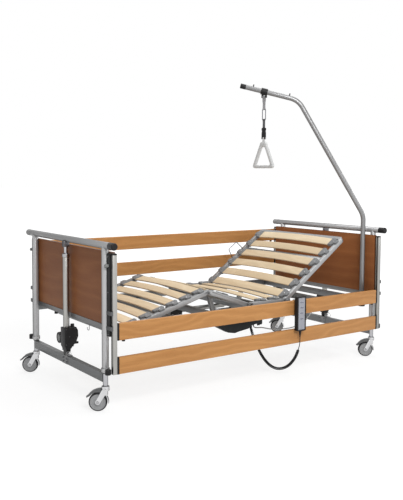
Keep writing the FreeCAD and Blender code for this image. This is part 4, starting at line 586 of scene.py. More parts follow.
def make_finishes(finish):
    quarter = math.pi / 2
    wear = finish.wear
    along, across, upright = (0.0, 0.0, 0.0), (0.0, 0.0, -quarter), (0.0, quarter, 0.0)
    painted("silver_paint", finish.silver, 0.45, 0.30, wear, 0.3, 0.82)
    painted("platform_paint", finish.platform, 0.40, 0.38, wear)
    painted("grey_paint", finish.grey, 0.40, 0.40, wear)
    painted("rail_paint", toned(finish.silver, 0.54), 0.40, 0.36, wear)
    painted("pole_paint", toned(finish.silver, 0.57), 0.50, 0.30, wear * 0.7, 0.4, 0.85)
    painted("band_paint", toned(finish.grey, 0.55), 0.30, 0.40, wear)
    bare_metal("bright_steel", (0.44, 0.44, 0.45), 0.27, wear)
    bare_metal("fork_plate", (0.66, 0.66, 0.67), 0.30, wear)
    bare_metal("zinc", (0.22, 0.22, 0.235), 0.36, wear)
    bare_metal("dark_screw", (0.07, 0.07, 0.075), 0.34, wear)
    bare_metal("polished_chrome", (0.50, 0.50, 0.52), 0.12, wear * 0.6, 0.08)
    bare_metal("drawn_aluminium", (0.42, 0.415, 0.395), 0.36, wear, 0.2, upright)
    moulded("black_plastic", finish.plastic, 0.46)
    moulded("light_plastic", (0.34, 0.34, 0.34), 0.40)
    moulded("button_grey", (0.24, 0.245, 0.24), 0.36, 0.2)
    moulded("holder_grey", (0.19, 0.195, 0.20), 0.44)
    moulded("pedal_grey", (0.13, 0.132, 0.135), 0.40)
    moulded("slate_plastic", (0.020, 0.024, 0.026), 0.42)
    moulded("white_plastic", (0.64, 0.645, 0.64), 0.26, 0.06, 0.1, 0.35)
    moulded("wheel_plastic", (0.36, 0.365, 0.37), 0.38, 0.12)
    moulded("tyre_rubber", (0.022, 0.022, 0.024), 0.62, 0.3)
    moulded("cord_black", (0.013, 0.013, 0.015), 0.42, 0.15)
    moulded("cord_grey", (0.42, 0.42, 0.42), 0.46, 0.15)
    moulded("key_foil", finish.handset, 0.40, 0.12, 0.1)
    moulded("key_cap", toned(finish.handset, 1.12), 0.42, 0.1, 0.1)
    moulded("key_mark", (0.030, 0.030, 0.085), 0.5, 0.1, 0.1)
    moulded("thread", (0.30, 0.30, 0.31), 0.7, 0.3)
    timber("panel_wood", finish.panel_light, finish.panel_dark, across, 7.0, 0.45, 0.42, 0.10)
    timber("panel_edge", toned(finish.panel_dark, 0.55), toned(finish.panel_dark, 0.35), across, 20.0, 0.3,
           0.42, 0.2)
    timber("bar_wood", finish.bar_light, finish.bar_dark, along, 13.0, 0.6, 0.42, 0.22)
    timber("slat_wood", finish.slat_light, finish.slat_dark, across, 15.0, 0.4, 0.46, 0.2, 1.5)
    webbing("strap_weave", (0.40, 0.40, 0.41))
    webbing("strap_dark", (0.075, 0.077, 0.082))


# ------------------------------------------------------------------ geometry trees
def geometry_tree(name, *inputs):
    """A tree that takes a mesh and gives one with a single finish."""
    mesh = ("Geometry", "Geometry")
    net, given, out = new_tree(name, "GeometryNodeTree", [mesh, *inputs, ("Finish", "Material")], [mesh])
    net.tree.is_modifier = True
    return net, given, out[0]


def read_attribute(net, name):
    return net.value("GeometryNodeInputNamedAttribute", {"Name": name}, data_type="FLOAT_VECTOR")


def own_turn(net):
    return net.value("FunctionNodeEulerToRotation", {0: read_attribute(net, "turn")})


def set_on_points(net, points, piece, turn, size=(1.0, 1.0, 1.0)):
    return net.value("GeometryNodeInstanceOnPoints", {"Points": points, "Instance": piece, "Rotation": turn,
                                                      "Scale": size})


def deliver(net, given, out, instances):
    """Turns instances into plain faces with the tree's finish, and puts them out."""
    real = net.value("GeometryNodeRealizeInstances", {0: instances})
    net.feed(out, net.value("GeometryNodeSetMaterial", {"Geometry": real, "Material": given["Finish"]}))


def fastener_tree():
    """Sets a head on every point, standing along the point's aim."""
    net, given, out = geometry_tree("Bed Fasteners", ("Head", "Object"), ("Size", "Float", 0.005))
    head = net.node("GeometryNodeObjectInfo", {"Object": given["Head"]}).outputs["Geometry"]
    turn = net.value("FunctionNodeAlignRotationToVector", {"Vector": read_attribute(net, "aim")}, axis="Z")
    deliver(net, given, out, set_on_points(net, given["Geometry"], head, turn, given["Size"]))


def row_tree():
    """Sets the same piece on every point, turned by the point's own turn."""
    net, given, out = geometry_tree("Bed Row", ("Piece", "Object"))
    piece = net.node("GeometryNodeObjectInfo", {"Object": given["Piece"]}).outputs["Geometry"]
    deliver(net, given, out, set_on_points(net, given["Geometry"], piece, own_turn(net)))


def slat_tree():
    """Arched slats with soft edges, one on every point, each with a tone of its own."""
    net, given, out = geometry_tree(
        "Bed Slats", ("Length", "Float", 0.76), ("Width", "Float", 0.064), ("Thickness", "Float", 0.009),
        ("Crown", "Float", 0.012), ("Edge", "Float", 0.003), ("Seed", "Int", 4))
    half = net.times(given["Length"], 0.5)
    arc = net.value("GeometryNodeCurveArc", {"Start": net.joined(0.0, net.times(half, -1.0), 0.0),
                                             "Middle": net.joined(0.0, 0.0, given["Crown"]),
                                             "End": net.joined(0.0, half, 0.0), "Resolution": 30},
                    mode="POINTS")
    arc = net.value("GeometryNodeSetCurveNormal", {"Curve": arc}, mode="Z_UP")
    section = net.value("GeometryNodeCurvePrimitiveQuadrilateral",
                        {"Width": given["Width"], "Height": given["Thickness"]})
    section = net.value("GeometryNodeFilletCurve", {"Curve": section, "Radius": given["Edge"], "Count": 3},
                        mode="POLY")
    slat = net.value("GeometryNodeCurveToMesh", {"Curve": arc, "Profile Curve": section, "Fill Caps": True})
    row = set_on_points(net, given["Geometry"], slat, own_turn(net))
    chance = net.value("FunctionNodeRandomValue", {"Seed": given["Seed"]}, 1, data_type="FLOAT")
    row = net.value("GeometryNodeStoreNamedAttribute", {"Geometry": row, "Name": "tone", "Value": chance},
                    data_type="FLOAT", domain="INSTANCE")
    deliver(net, given, out, row)


def bead_tree():
    """Small beads along a line, for stitches and for the ripples of a weld."""
    net, given, out = geometry_tree("Bed Beads", ("Pitch", "Float", 0.003), ("Length", "Float", 0.003),
                                    ("Width", "Float", 0.002), ("Height", "Float", 0.001))
    line = net.value("GeometryNodeMeshToCurve", {"Mesh": given["Geometry"]})
    line = net.value("GeometryNodeResampleCurve", {"Curve": line, "Length": given["Pitch"]}, mode="LENGTH")
    tangent = net.value("GeometryNodeInputTangent")
    turn = net.value("FunctionNodeAlignRotationToVector", {"Vector": tangent}, axis="X")
    turn = net.value("FunctionNodeAlignRotationToVector", {"Rotation": turn,
                                                           "Vector": read_attribute(net, "aim")},
                     axis="Z", pivot_axis="X")
    bead = net.value("GeometryNodeMeshIcoSphere", {"Radius": 0.5, "Subdivisions": 2})
    size = net.joined(given["Length"], given["Width"], given["Height"])
    deliver(net, given, out, set_on_points(net, line, bead, turn, size))


# ------------------------------------------------------------------ making pieces
def placed(name, data):
    """A new object in the scene, at the origin."""
    made = bpy.data.objects.new(name, data)
    bpy.context.scene.collection.objects.link(made)
    return made


def mesh_of(shape, name):
    """A mesh from a bmesh, which it frees."""
    data = bpy.data.meshes.new(name)
    shape.to_mesh(data)
    shape.free()
    return data


def link(name, data, body, replaces=()):
    """Places a finished piece at the origin, riding a body if one is given."""
    piece = placed(name, data)
    if body:
        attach(piece, body)
    if replaces:
        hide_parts(*replaces)
    return piece


def smoothed(data):
    data.shade_smooth()
    data.set_sharp_from_angle(angle=SMOOTH_ANGLE)


def islands(shape):
    """Vertices of each loose part of a bmesh, in the same order each run."""
    left = dict.fromkeys(shape.verts)
    while left:
        found = [left.popitem()[0]]
        for vert in found:
            for edge in vert.link_edges:
                other = edge.other_vert(vert)
                if other in left:
                    del left[other]
                    found.append(other)
        yield found


def loose_parts(node):
    """One bmesh for each solid of a CAD node, in the drawing's millimetres, with its triangles merged."""
    whole = bmesh.new()
    whole.from_mesh(NODES[node].data)
    bmesh.ops.remove_doubles(whole, verts=whole.verts, dist=MERGE_DISTANCE)
    parts = []
    for verts in islands(whole):
        part = bmesh.new()
        made = {v: part.verts.new((v.co - Vector((FRAME_SHIFT, 0, 0))) / MM) for v in verts}
        for face in dict.fromkeys(f for v in verts for f in v.link_faces):
            part.faces.new([made[v] for v in face.verts])
        bmesh.ops.dissolve_limit(part, angle_limit=FLAT_ANGLE, verts=part.verts, edges=part.edges,
                                 use_dissolve_boundaries=False)
        parts.append(part)
    whole.free()
    return parts


def part_box(part):
    low = Vector([min(v.co[i] for v in part.verts) for i in range(3)])
    high = Vector([max(v.co[i] for v in part.verts) for i in range(3)])
    return low, high


def round_edges(part, radius, segments=2):
    """Rounds the sharp edges of one solid; the radius is in millimetres, and less on a thin solid."""
    low, high = part_box(part)
    reach = min(radius, THIN_SHARE * min(high - low))
    sharp = [e for e in part.edges if len(e.link_faces) == 2 and e.calc_face_angle(0.0) > SHARP_ANGLE]
    if sharp and reach > LEAST_ROUNDING:
        bmesh.ops.bevel(part, geom=sharp, offset=reach, offset_type="OFFSET", segments=segments,
                        profile=0.5, affect="EDGES", clamp_overlap=True)


def absorb(whole, *parts):
    """Adds bmeshes to another and frees them."""
    for part in parts:
        mesh = mesh_of(part, "part")
        whole.from_mesh(mesh)
        bpy.data.meshes.remove(mesh)


def gathered(*parts):
    whole = bmesh.new()
    absorb(whole, *parts)
    return whole


def in_row_frame(shape, name, finishes):
    """A mesh in metres in the row frame from a bmesh in the drawing's millimetres."""
    for vert in shape.verts:
        vert.co = at(*vert.co)
    data = mesh_of(shape, name)
    smoothed(data)
    for finish in finishes:
        data.materials.append(finished(finish))
    return data


Spot = namedtuple("Spot", "low high centre normal")


def softened(node, radius, pick, segments=2):
    """Stands for a CAD node with rounded edges. pick is a material's name, or a function that gives it from
    a Spot: the solid's lowest and highest corner and the face's centre and normal, in millimetres."""
    whole = bmesh.new()
    names = []
    for part in loose_parts(node):
        low, high = part_box(part)
        round_edges(part, radius / MM, segments)
        part.normal_update()
        for face in part.faces:
            finish = pick if isinstance(pick, str) else pick(Spot(low, high, face.calc_center_median(),
                                                                  face.normal))
            if finish not in names:
                names.append(finish)
            face.material_index = names.index(finish)
        absorb(whole, part)
    name = node + "_finished"
    return link(name, in_row_frame(whole, name, names), NODES[node]["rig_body"], (node,))


def formed(name, shape, finishes, body, replaces=()):
    """A piece from a bmesh in the drawing's millimetres."""
    bmesh.ops.recalc_face_normals(shape, faces=shape.faces)
    return link(name, in_row_frame(shape, name, finishes), body, replaces)


def lathe(shape, profile, base, axis, finishes=0, segments=40):
    """Adds the skin that a profile of (along, radius) points sweeps about an axis. finishes is a material
    slot, or one for each step. A profile that ends off the axis closes onto its start."""
    base, axis = Vector(base), Vector(axis).normalized()
    side = axis.orthogonal().normalized()
    up = axis.cross(side)
    rings = []
    for along, radius in profile:
        centre = base + axis * along
        turns = [2 * math.pi * k / segments for k in range(segments if radius > 1e-6 else 1)]
        rings.append([shape.verts.new(centre + (side * math.cos(a) + up * math.sin(a)) * radius)
                      for a in turns])
    if len(rings[0]) > 1:
        rings.append(rings[0])
    for step, (low, high) in enumerate(zip(rings, rings[1:])):
        for k in range(segments):
            j = (k + 1) % segments
            loop = [low[k % len(low)], low[j % len(low)], high[j % len(high)], high[k % len(high)]]
            face = shape.faces.new(list(dict.fromkeys(loop)))
            face.material_index = finishes if isinstance(finishes, int) else finishes[step]


def rounded(points, radius, steps=4):
    """Outline with its corners rounded."""
    outline = []
    for k, corner in enumerate(points):
        corner = Vector(corner)
        before = Vector(points[k - 1]) - corner
        after = Vector(points[(k + 1) % len(points)]) - corner
        reach = min(radius / math.tan(before.angle(after) / 2), 0.45 * before.length, 0.45 * after.length)
        start, end = corner + before.normalized() * reach, corner + after.normalized() * reach
        for i in range(steps + 1):
            t = i / steps
            outline.append(tuple(start.lerp(corner, t).lerp(corner.lerp(end, t), t)))
    return outline


def rectangle(x0, x1, y0, y1):
    return (x0, y0), (x1, y0), (x1, y1), (x0, y1)


def round_rectangle(x0, x1, y0, y1, radius, steps=4):
    return rounded(rectangle(x0, x1, y0, y1), radius, steps)


def lying(u, v, w):
    """Places an outline flat, with w as its height."""
    return u, v, w


def facing(u, v, w):
    """Places an outline upright along the bed, with w across the bed."""
    return u, w, v


def walled(levels, capped, place, soften, segments, finish):
    """A solid with walls between (outline, w) levels, capped or closed onto its first level."""
    part = bmesh.new()
    rings = [[part.verts.new(place(u, v, w)) for u, v in outline] for outline, w in levels]
    if capped:
        part.faces.new(rings[0])
        part.faces.new(rings[-1])
    else:
        rings.append(rings[0])
    for ring, after in zip(rings, rings[1:]):
        for k in range(len(ring)):
            part.faces.new((ring[k - 1], ring[k], after[k], after[k - 1]))
    bmesh.ops.recalc_face_normals(part, faces=part.faces)
    if soften:
        round_edges(part, soften, segments)
    for face in part.faces:
        face.material_index = finish
    return part


def prism(outline, low, high, place, soften=0.0, segments=2, finish=0):
    """A plate with an outline of (u, v) points between w = low and w = high."""
    return walled([(outline, low), (outline, high)], True, place, soften, segments, finish)


def frame_ring(outer, inner, low, high, place, soften=0.0, finish=0):
    """A flat ring between two outlines with as many points each."""
    levels = [(outer, low), (outer, high), (inner, high), (inner, low)]
    return walled(levels, False, place, soften, 2, finish)


# ------------------------------------------------------------------ rows by geometry trees
def marked_points(places, attribute, vectors, edges=()):
    """A mesh of points in the row frame, with a vector kept on each."""
    data = bpy.data.meshes.new("points")
    data.from_pydata([at(*p) for p in places], edges, [])
    layer = data.attributes.new(attribute, "FLOAT_VECTOR", "POINT")
    layer.data.foreach_set("vector", [c for vector in vectors for c in vector])
    return data


def grown(name, points, tree_name, values, finish, body, replaces=()):
    """The piece that a tree makes from points, as a plain mesh."""
    holder = placed(name, points)
    modifier = holder.modifiers.new(tree_name, "NODES")
    modifier.node_group = bpy.data.node_groups[tree_name]
    values["Finish"] = finished(finish)
    for item in modifier.node_group.interface.items_tree:
        if item.in_out == "INPUT" and item.name in values:
            modifier[item.identifier] = values[item.name]
    graph = bpy.context.evaluated_depsgraph_get()
    data = bpy.data.meshes.new_from_object(holder.evaluated_get(graph), depsgraph=graph)
    bpy.data.objects.remove(holder)
    bpy.data.meshes.remove(points)
    data.name = name
    smoothed(data)
    link(name, data, body, replaces)


def pattern(name, shape):
    """An unplaced object from a bmesh in metres, for a tree to repeat."""
    bmesh.ops.recalc_face_normals(shape, faces=shape.faces)
    return bpy.data.objects.new(name, mesh_of(shape, name))


# Heads of radius 1: rings of (height, radii), the radii repeated round the ring's twelve points
RING_POINTS = 12
HEX = (1.0, 0.87)
HEADS = {
    "hex_bolt": ((0.0, (1.25,)), (0.14, (1.25,)), (0.20, (1.18,)), (0.21, HEX), (0.78, HEX),
                 (0.88, (0.86, 0.80)), (0.90, (0.5,))),
    "socket_screw": ((0.0, (1.0,)), (0.16, (1.0,)), (0.42, (0.80,)), (0.55, (0.52,)), (0.55, (0.46, 0.40)),
                     (0.20, (0.44, 0.38))),
    "cross_screw": ((0.0, (1.0,)), (0.14, (1.0,)), (0.34, (0.82,)), (0.42, (0.62,)),
                    (0.42, (0.55, 0.16, 0.16)), (0.16, (0.40, 0.12, 0.12))),
    "rivet": ((0.0, (1.0,)), (0.12, (0.98,)), (0.34, (0.80,)), (0.48, (0.46,))),
    "key": ((0.0, (1.0,)), (0.07, (0.98,)), (0.11, (0.90,)), (0.12, (0.6,))),
}


def make_head(kind):
    shape = bmesh.new()
    rings = []
    for height, radii in HEADS[kind]:
        ring = [(radii[k % len(radii)], 2 * math.pi * k / RING_POINTS) for k in range(RING_POINTS)]
        rings.append([shape.verts.new((r * math.cos(a), r * math.sin(a), height)) for r, a in ring])
    for low, high in zip(rings, rings[1:]):
        for k in range(RING_POINTS):
            shape.faces.new((low[k - 1], low[k], high[k], high[k - 1]))
    shape.faces.new(rings[0])
    shape.faces.new(rings[-1])
    return pattern(kind, shape)


def fasten(node, label, kind, size, finish, places):
    """Puts heads on a node's body; places are (point, aim) pairs in the drawing."""
    head = make_head(kind)
    points, aims = zip(*places)
    grown(f"{node}_{label}", marked_points(points, "aim", aims), "Bed Fasteners",
          {"Head": head, "Size": size * MM}, finish, NODES[node]["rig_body"])
    bpy.data.objects.remove(head)


def beads(name, body, lines, pitch, size, finish):
    """Beads along lines of (point, aim) pairs."""
    edges, start = [], 0
    for line in lines:
        edges += [(start + k, start + k + 1) for k in range(len(line) - 1)]
        start += len(line)
    points, aims = zip(*[pair for line in lines for pair in line])
    values = {"Pitch": pitch, "Length": size[0] * MM, "Width": size[1] * MM, "Height": size[2] * MM}
    grown(name, marked_points(points, "aim", aims, edges), "Bed Beads", values, finish, body)


# ------------------------------------------------------------------ studio
CAMERA_PLACE = (-2.8225 + FRAME_SHIFT, -3.8311, 1.2569)
CAMERA_TURN = math.radians(-35.52)
CAMERA_RISE = math.radians(3.97)
CAMERA_ROLL = math.radians(0.31)
CAMERA_SHIFT = -0.05
# width, place and target of each lamp, in metres
LAMPS = {
    "key": (2.4, (-1.6, -4.6, 3.8), (0.0, 0.0, 0.6)),
    "fill": (2.2, (4.2, -2.6, 2.6), (0.3, 0.0, 0.7)),
    "top": (4.0, (0.5, 0.8, 4.6), (0.1, 0.0, 0.4)),
}
FLOOR_RADIUS = 60.0
FLOOR_DROP = 0.0004
SHADOW_REACH = (1.6, 6.0)      # the floor turns plain white between these distances
FLOOR_GLOW = 0.80
FAR_GLOW = 0.3
MATT_SHARE = 0.30


class BED_OT_studio(bpy.types.Operator):
    """Sets the camera, the lamps, the even room light and the pale floor"""
    bl_idname = "bed.studio"
    bl_label = "Studio"

    def execute(self, context):
        scene = context.scene
        scene.camera = self.add_camera(scene.bed_studio)
        self.add_lamps(scene.bed_studio)
        scene.world = self.add_room(scene.bed_studio)
        self.add_floor(scene.bed_studio)
        scene.view_settings.view_transform = "Standard"
        return {"FINISHED"}

    def add_camera(self, studio):
        data = bpy.data.cameras.new("bed_camera")
        data.sensor_width = 36.0
        data.lens = studio.lens
        data.shift_y = CAMERA_SHIFT
        data.clip_start, data.clip_end = 0.1, 200.0
        way = Vector((-math.sin(CAMERA_TURN) * math.cos(CAMERA_RISE),
                      math.cos(CAMERA_TURN) * math.cos(CAMERA_RISE), -math.sin(CAMERA_RISE)))
        camera = placed("bed_camera", data)
        camera.matrix_world = looking(CAMERA_PLACE, way) @ Matrix.Rotation(CAMERA_ROLL, 4, "Z")
        return camera

    def add_lamps(self, studio):
        for name, (size, place, target) in LAMPS.items():
            lamp = bpy.data.lights.new("bed_" + name, "AREA")
            lamp.shape = "SQUARE"
            lamp.size = size
            lamp.energy = getattr(studio, name)
            placed("bed_" + name, lamp).matrix_world = looking(place, Vector(target) - Vector(place))

    def add_room(self, studio):
        world = bpy.data.worlds.new("bed_room")
        net = emptied(world)
        strength = net.value("ShaderNodeMapRange", {"Value": seen_directly(net), "To Min": studio.room,
                                                    "To Max": 1.0})
        light = net.value("ShaderNodeBackground", {"Color": WHITE, "Strength": strength})
        net.node("ShaderNodeOutputWorld", {0: light})
        return world

    def add_floor(self, studio):
        """White where the camera sees it, but for the bed's shadow, and white far off."""
        shape = bmesh.new()
        bmesh.ops.create_circle(shape, cap_ends=True, segments=64, radius=FLOOR_RADIUS)
        bmesh.ops.translate(shape, verts=shape.verts, vec=(0.0, 0.0, -FLOOR_DROP))
        floor = placed("studio_floor", mesh_of(shape, "studio_floor"))
        material = bpy.data.materials.new("studio_floor")
        net = emptied(material)
        place = net.node("ShaderNodeTexCoord").outputs["Object"]
        tone = net.group("Bed Tone", {"Vector": place, "Scale": 1.5})
        tint = net.mix(net.times(tone["Broad"], 0.1), studio.floor, toned(studio.floor, 0.97))
        matt = net.value("ShaderNodeBsdfDiffuse", {"Color": tint})
        reach = net.node("ShaderNodeVectorMath", {0: place}, operation="LENGTH").outputs["Value"]
        strength = net.plus(FLOOR_GLOW, net.times(net.ramp(reach, *SHADOW_REACH), FAR_GLOW))
        glow = net.value("ShaderNodeEmission", {"Color": WHITE, "Strength": strength})
        part = net.value("ShaderNodeMixShader", {0: MATT_SHARE, 2: matt})
        both = net.value("ShaderNodeAddShader", {0: part, 1: glow})
        shown = net.value("ShaderNodeMixShader", {0: seen_directly(net), 1: matt, 2: both})
        net.node("ShaderNodeOutputMaterial", {"Surface": shown})
        floor.data.materials.append(material)


def looking(place, way):
    """Matrix of a camera or lamp that stands at a place and looks along a way."""
    return Matrix.Translation(place) @ way.to_track_quat("-Z", "Y").to_matrix().to_4x4()


def seen_directly(net):
    """1 for rays from the camera, mirrors and glass, 0 for the light that falls on things."""
    path = net.node("ShaderNodeLightPath").outputs
    seen = net.plus(path["Is Camera Ray"], path["Is Transmission Ray"], clamp=True)
    return net.plus(seen, path["Is Glossy Ray"], clamp=True)


# ------------------------------------------------------------------ cords
def cord_curve(name, points, radius, resolution=12):
    """A smooth curve with the points as its control points."""
    data = bpy.data.curves.new(name, "CURVE")
    data.dimensions = "3D"
    data.resolution_u = resolution
    line = data.splines.new("NURBS")
    line.points.add(len(points) - 1)
    for point, place in zip(line.points, points):
        point.co = (*place, 1.0)
    line.order_u = 3
    line.use_endpoint_u = True
    data.bevel_depth = radius
    data.bevel_resolution = 3
    data.use_fill_caps = radius > 0
    return data


def drawn_out(data):
    """The mesh of a curve."""
    holder = placed("line", data)
    mesh = bpy.data.meshes.new_from_object(holder)
    bpy.data.objects.remove(holder)
    bpy.data.curves.remove(data)
    return mesh


def followed(places):
    """Points along a route's spline, read from a curve without a bevel."""
    mesh = drawn_out(cord_curve("route", places, 0.0, 24))
    points = [v.co.copy() for v in mesh.vertices]
    bpy.data.meshes.remove(mesh)
    return points


def run_length(points):
    return sum((b - a).length for a, b in zip(points, points[1:]))


def point_at(points, distance):
    """Point and direction at a distance along a polyline."""
    for a, b in zip(points, points[1:]):
        step = (b - a).length
        if distance <= step or b is points[-1]:
            return a.lerp(b, min(1.0, distance / step)), (b - a) / step
        distance -= step


def helix(points, radius, pitch, per_turn=12):
    """Points of a helix wound round a polyline, closing onto it at both ends."""
    total = run_length(points)
    steps = round(total / pitch) * per_turn
    side = None
    wound = []
    for i in range(steps + 1):
        centre, along = point_at(points, total * i / steps)
        if side is None:
            side = along.orthogonal().normalized()
        side = (side - along * side.dot(along)).normalized()
        up = along.cross(side)
        angle = 2 * math.pi * i / per_turn
        out = radius * min(1.0, i / per_turn, (steps - i) / per_turn)
        wound.append(centre + (side * math.cos(angle) + up * math.sin(angle)) * out)
    return wound


class BED_OT_cords(bpy.types.Operator):
    """Makes the handset's lead, its curly cord and the cable to the head lift"""
    bl_idname = "bed.cords"
    bl_label = "Cords"

    def execute(self, context):
        detail = context.scene.bed_detail
        lead, coil, cable = ([at(*p) for p in route] for route in (LEAD_ROUTE, COIL_ROUTE, CABLE_ROUTE))
        turns = helix(followed(coil), (COIL_THICKNESS - detail.coil_wire) / 2, detail.coil_pitch)
        self.hang("handset_lead_cord", lead, followed(lead), LEAD_THICKNESS, 12, "cord_black",
                  "handset_lead", ("handset", "near_rail"))
        self.hang("handset_curly_cord_turns", turns, turns, detail.coil_wire, 2, "cord_black",
                  "handset_curly_cord", ("near_rail", "main_frame"))
        self.hang("lift_cable_cord", cable, followed(cable), CABLE_THICKNESS, 12, "cord_grey",
                  "lift_cable", ("main_frame", "head_base"))
        return {"FINISHED"}

    def hang(self, name, points, path, diameter, resolution, finish, node, bodies):
        """Makes a cord along its points in place of its CAD node, and bakes it where it lies. The cord
        rides no body, and the two bodies given for its ends are not used.
        """
        mesh = drawn_out(cord_curve(name, points, diameter / 2, resolution))
        smoothed(mesh)
        mesh.materials.clear()
        mesh.materials.append(finished(finish))
        cord = link(name, mesh, None, (node,))
        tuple(path[0])
        run_length(path)
        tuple(path[0])
        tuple(path[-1])
        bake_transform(cord)


# ------------------------------------------------------------------ steel frames
LOWER_RAIL_TOP = 470.0
CHASSIS_PIN_WIDTH = 12.5
SEAT_RAIL_Z = 440.0
SEAT_RAIL_LENGTH = 200.0
SECTION_PIN_WIDTH = 20.0


def end_frame_finish(spot):
    """The lower rails are duller than the tubes above them."""
    return "rail_paint" if spot.high.z < LOWER_RAIL_TOP else "silver_paint"


def cap_finish(spot):
    """The far caps are pale."""
    return "light_plastic" if spot.low.y > 0 else "black_plastic"


def chassis_finish(spot):
    """Pins are bare, the seat's rails match the hinged frames and the rest is grey."""
    size = spot.high - spot.low
    if max(size.x, size.z) < CHASSIS_PIN_WIDTH:
        return "bright_steel"
    seat_rail = spot.low.z > SEAT_RAIL_Z and size.x > SEAT_RAIL_LENGTH
    return "platform_paint" if seat_rail else "grey_paint"


def section_finish(spot):
    """Pins are bare."""
    size = spot.high - spot.low
    return "bright_steel" if max(size.x, size.z) < SECTION_PIN_WIDTH else "platform_paint"


class BED_OT_frames(bpy.types.Operator):
    """Gives the steel frames their soft edges, finishes and bolts"""
    bl_idname = "bed.frames"
    bl_label = "Steel frames"

    def execute(self, context):
        edge = context.scene.bed_detail.edge
        softened("end_frames", edge, end_frame_finish)
        softened("top_tube_caps", edge, cap_finish)
        softened("chassis", edge, chassis_finish)
        softened("pole_sockets", edge, "black_plastic")
        for section in ("back", "thigh", "leg"):
            softened(section + "_frame", edge, section_finish)
        softened("mattress_bow", edge, "zinc")
        self.add_bolts()
        return {"FINISHED"}

    def add_bolts(self):
        knee, middle = SECTIONS["leg"], sum(CROSS_Z) / 2
        fasten("chassis", "rail_bolts", "hex_bolt", 6.0, "zinc",
               [((x, side * SIDE_RAIL_Y, middle), (0, side, 0)) for x in CROSS_X for side in BOTH])
        fasten("chassis", "hinge_nuts", "hex_bolt", 5.6, "bright_steel",
               [((x, side * HINGE_NUT_Y, HINGE_Z), (0, -side, 0)) for x in HINGE_X for side in BOTH])
        fasten("end_frames", "upright_bolts", "socket_screw", 5.0, "bright_steel",
               [((end * (END_X + UPRIGHT_R - 0.5), side * SIDE_Y, UPRIGHT_BOLT_Z), (end, 0, 0))
                for _, end, side in corners()])
        fasten("thigh_frame", "knee_screws", "socket_screw", 6.5, "bright_steel",
               [((knee.x, side * KNEE_SCREW_Y, knee.z), (0, -side, 0)) for side in BOTH])
        fasten("chassis", "drive_pin_heads", "hex_bolt", 7.0, "zinc",
               [((x, y + s * DRIVE_PIN_HALF, z), (0, s, 0)) for x, y, z in DRIVE_PINS for s in BOTH])


# ------------------------------------------------------------------ weld seams
class BED_OT_welds(bpy.types.Operator):
    """Lays the rippled weld seams where the steel tubes meet"""
    bl_idname = "bed.welds"
    bl_label = "Weld seams"

    def execute(self, context):
        radius = UPRIGHT_R + WELD_OUT
        self.lay("end_frames", "main_frame", "silver",
                 [ring_points(end, side, radius, saddle_height) for _, end, side in corners()])
        for name, end in ENDS.items():
            self.lay(name + "_base", name + "_base", "grey",
                     [ring_points(end, side, INNER_R + WELD_OUT, crossbar_height) for side in BOTH])
        self.lay("chassis", "main_frame", "grey",
                 [rectangle_seam(x, side) for x in CROSS_X for side in BOTH])
        return {"FINISHED"}

    def lay(self, place, body, paint, lines):
        pitch = bpy.context.scene.bed_detail.weld
        beads(place + "_welds", body, lines, pitch, WELD_BEAD, paint + "_paint")


def saddle_height(angle):
    """Height at which an upright meets the underside of the top tube."""
    across = UPRIGHT_R * math.cos(angle)
    return TOP_TUBE_Z - math.sqrt(max(0.0, TOP_TUBE_R ** 2 - across ** 2)) - WELD_OUT


def crossbar_height(angle):
    """Inner tubes meet the crossbar's flat top, so every angle gives the same height."""
    return CROSSBAR_Z[1]


def ring_points(end, side, radius, height, steps=48):
    """Closed line round an upright tube; height gives z at an angle."""
    line = []
    for k in range(steps + 1):
        angle = 2 * math.pi * k / steps
        out = Vector((math.cos(angle), math.sin(angle), 0))
        line.append((Vector((end * END_X, side * SIDE_Y, height(angle))) + out * radius, out))
    return line


def rectangle_seam(x, side):
    """Line round the end of a cross member, on the side rail's inner face."""
    y = side * (CHASSIS_IN_Y - 0.3)
    low, high = CROSS_Z
    around = [(-1, low), (-1, high), (1, high), (1, low), (-1, low)]
    return [((x + way * CROSS_HALF, y, z), (0, -side, 0)) for way, z in around]


# ------------------------------------------------------------------ lifts and drives
CROSSBAR_LENGTH = 500.0        # least sizes that tell a base's solids apart
BASE_TUBE_HEIGHT = 400.0
LIFT_TUBE_WIDTH = 32.0
SADDLE_WIDTH = 30.0
COLLAR_Z = 700.0
ROD_HEAD_Z = 838.0
DRIVE_TUBES_X = (-205.0, 499.0)
DRIVE_TUBES_Y = 86.5


def base_finish(spot):
    """Grey crossbar, drawn lift tube, plated inner tubes, painted saddle and bare pins."""
    size = spot.high - spot.low
    if size.y > CROSSBAR_LENGTH:
        return "grey_paint"
    if size.z > BASE_TUBE_HEIGHT:
        return "drawn_aluminium" if size.x > LIFT_TUBE_WIDTH else "polished_chrome"
    return "rail_paint" if size.x > SADDLE_WIDTH else "bright_steel"


def lift_finish(spot):
    """The collar at the top is bare."""
    return "bright_steel" if spot.low.z > COLLAR_Z else "black_plastic"


def lift_rod_finish(spot):
    """The rods' heads are zinc plated."""
    return "zinc" if spot.centre.z > ROD_HEAD_Z else "polished_chrome"


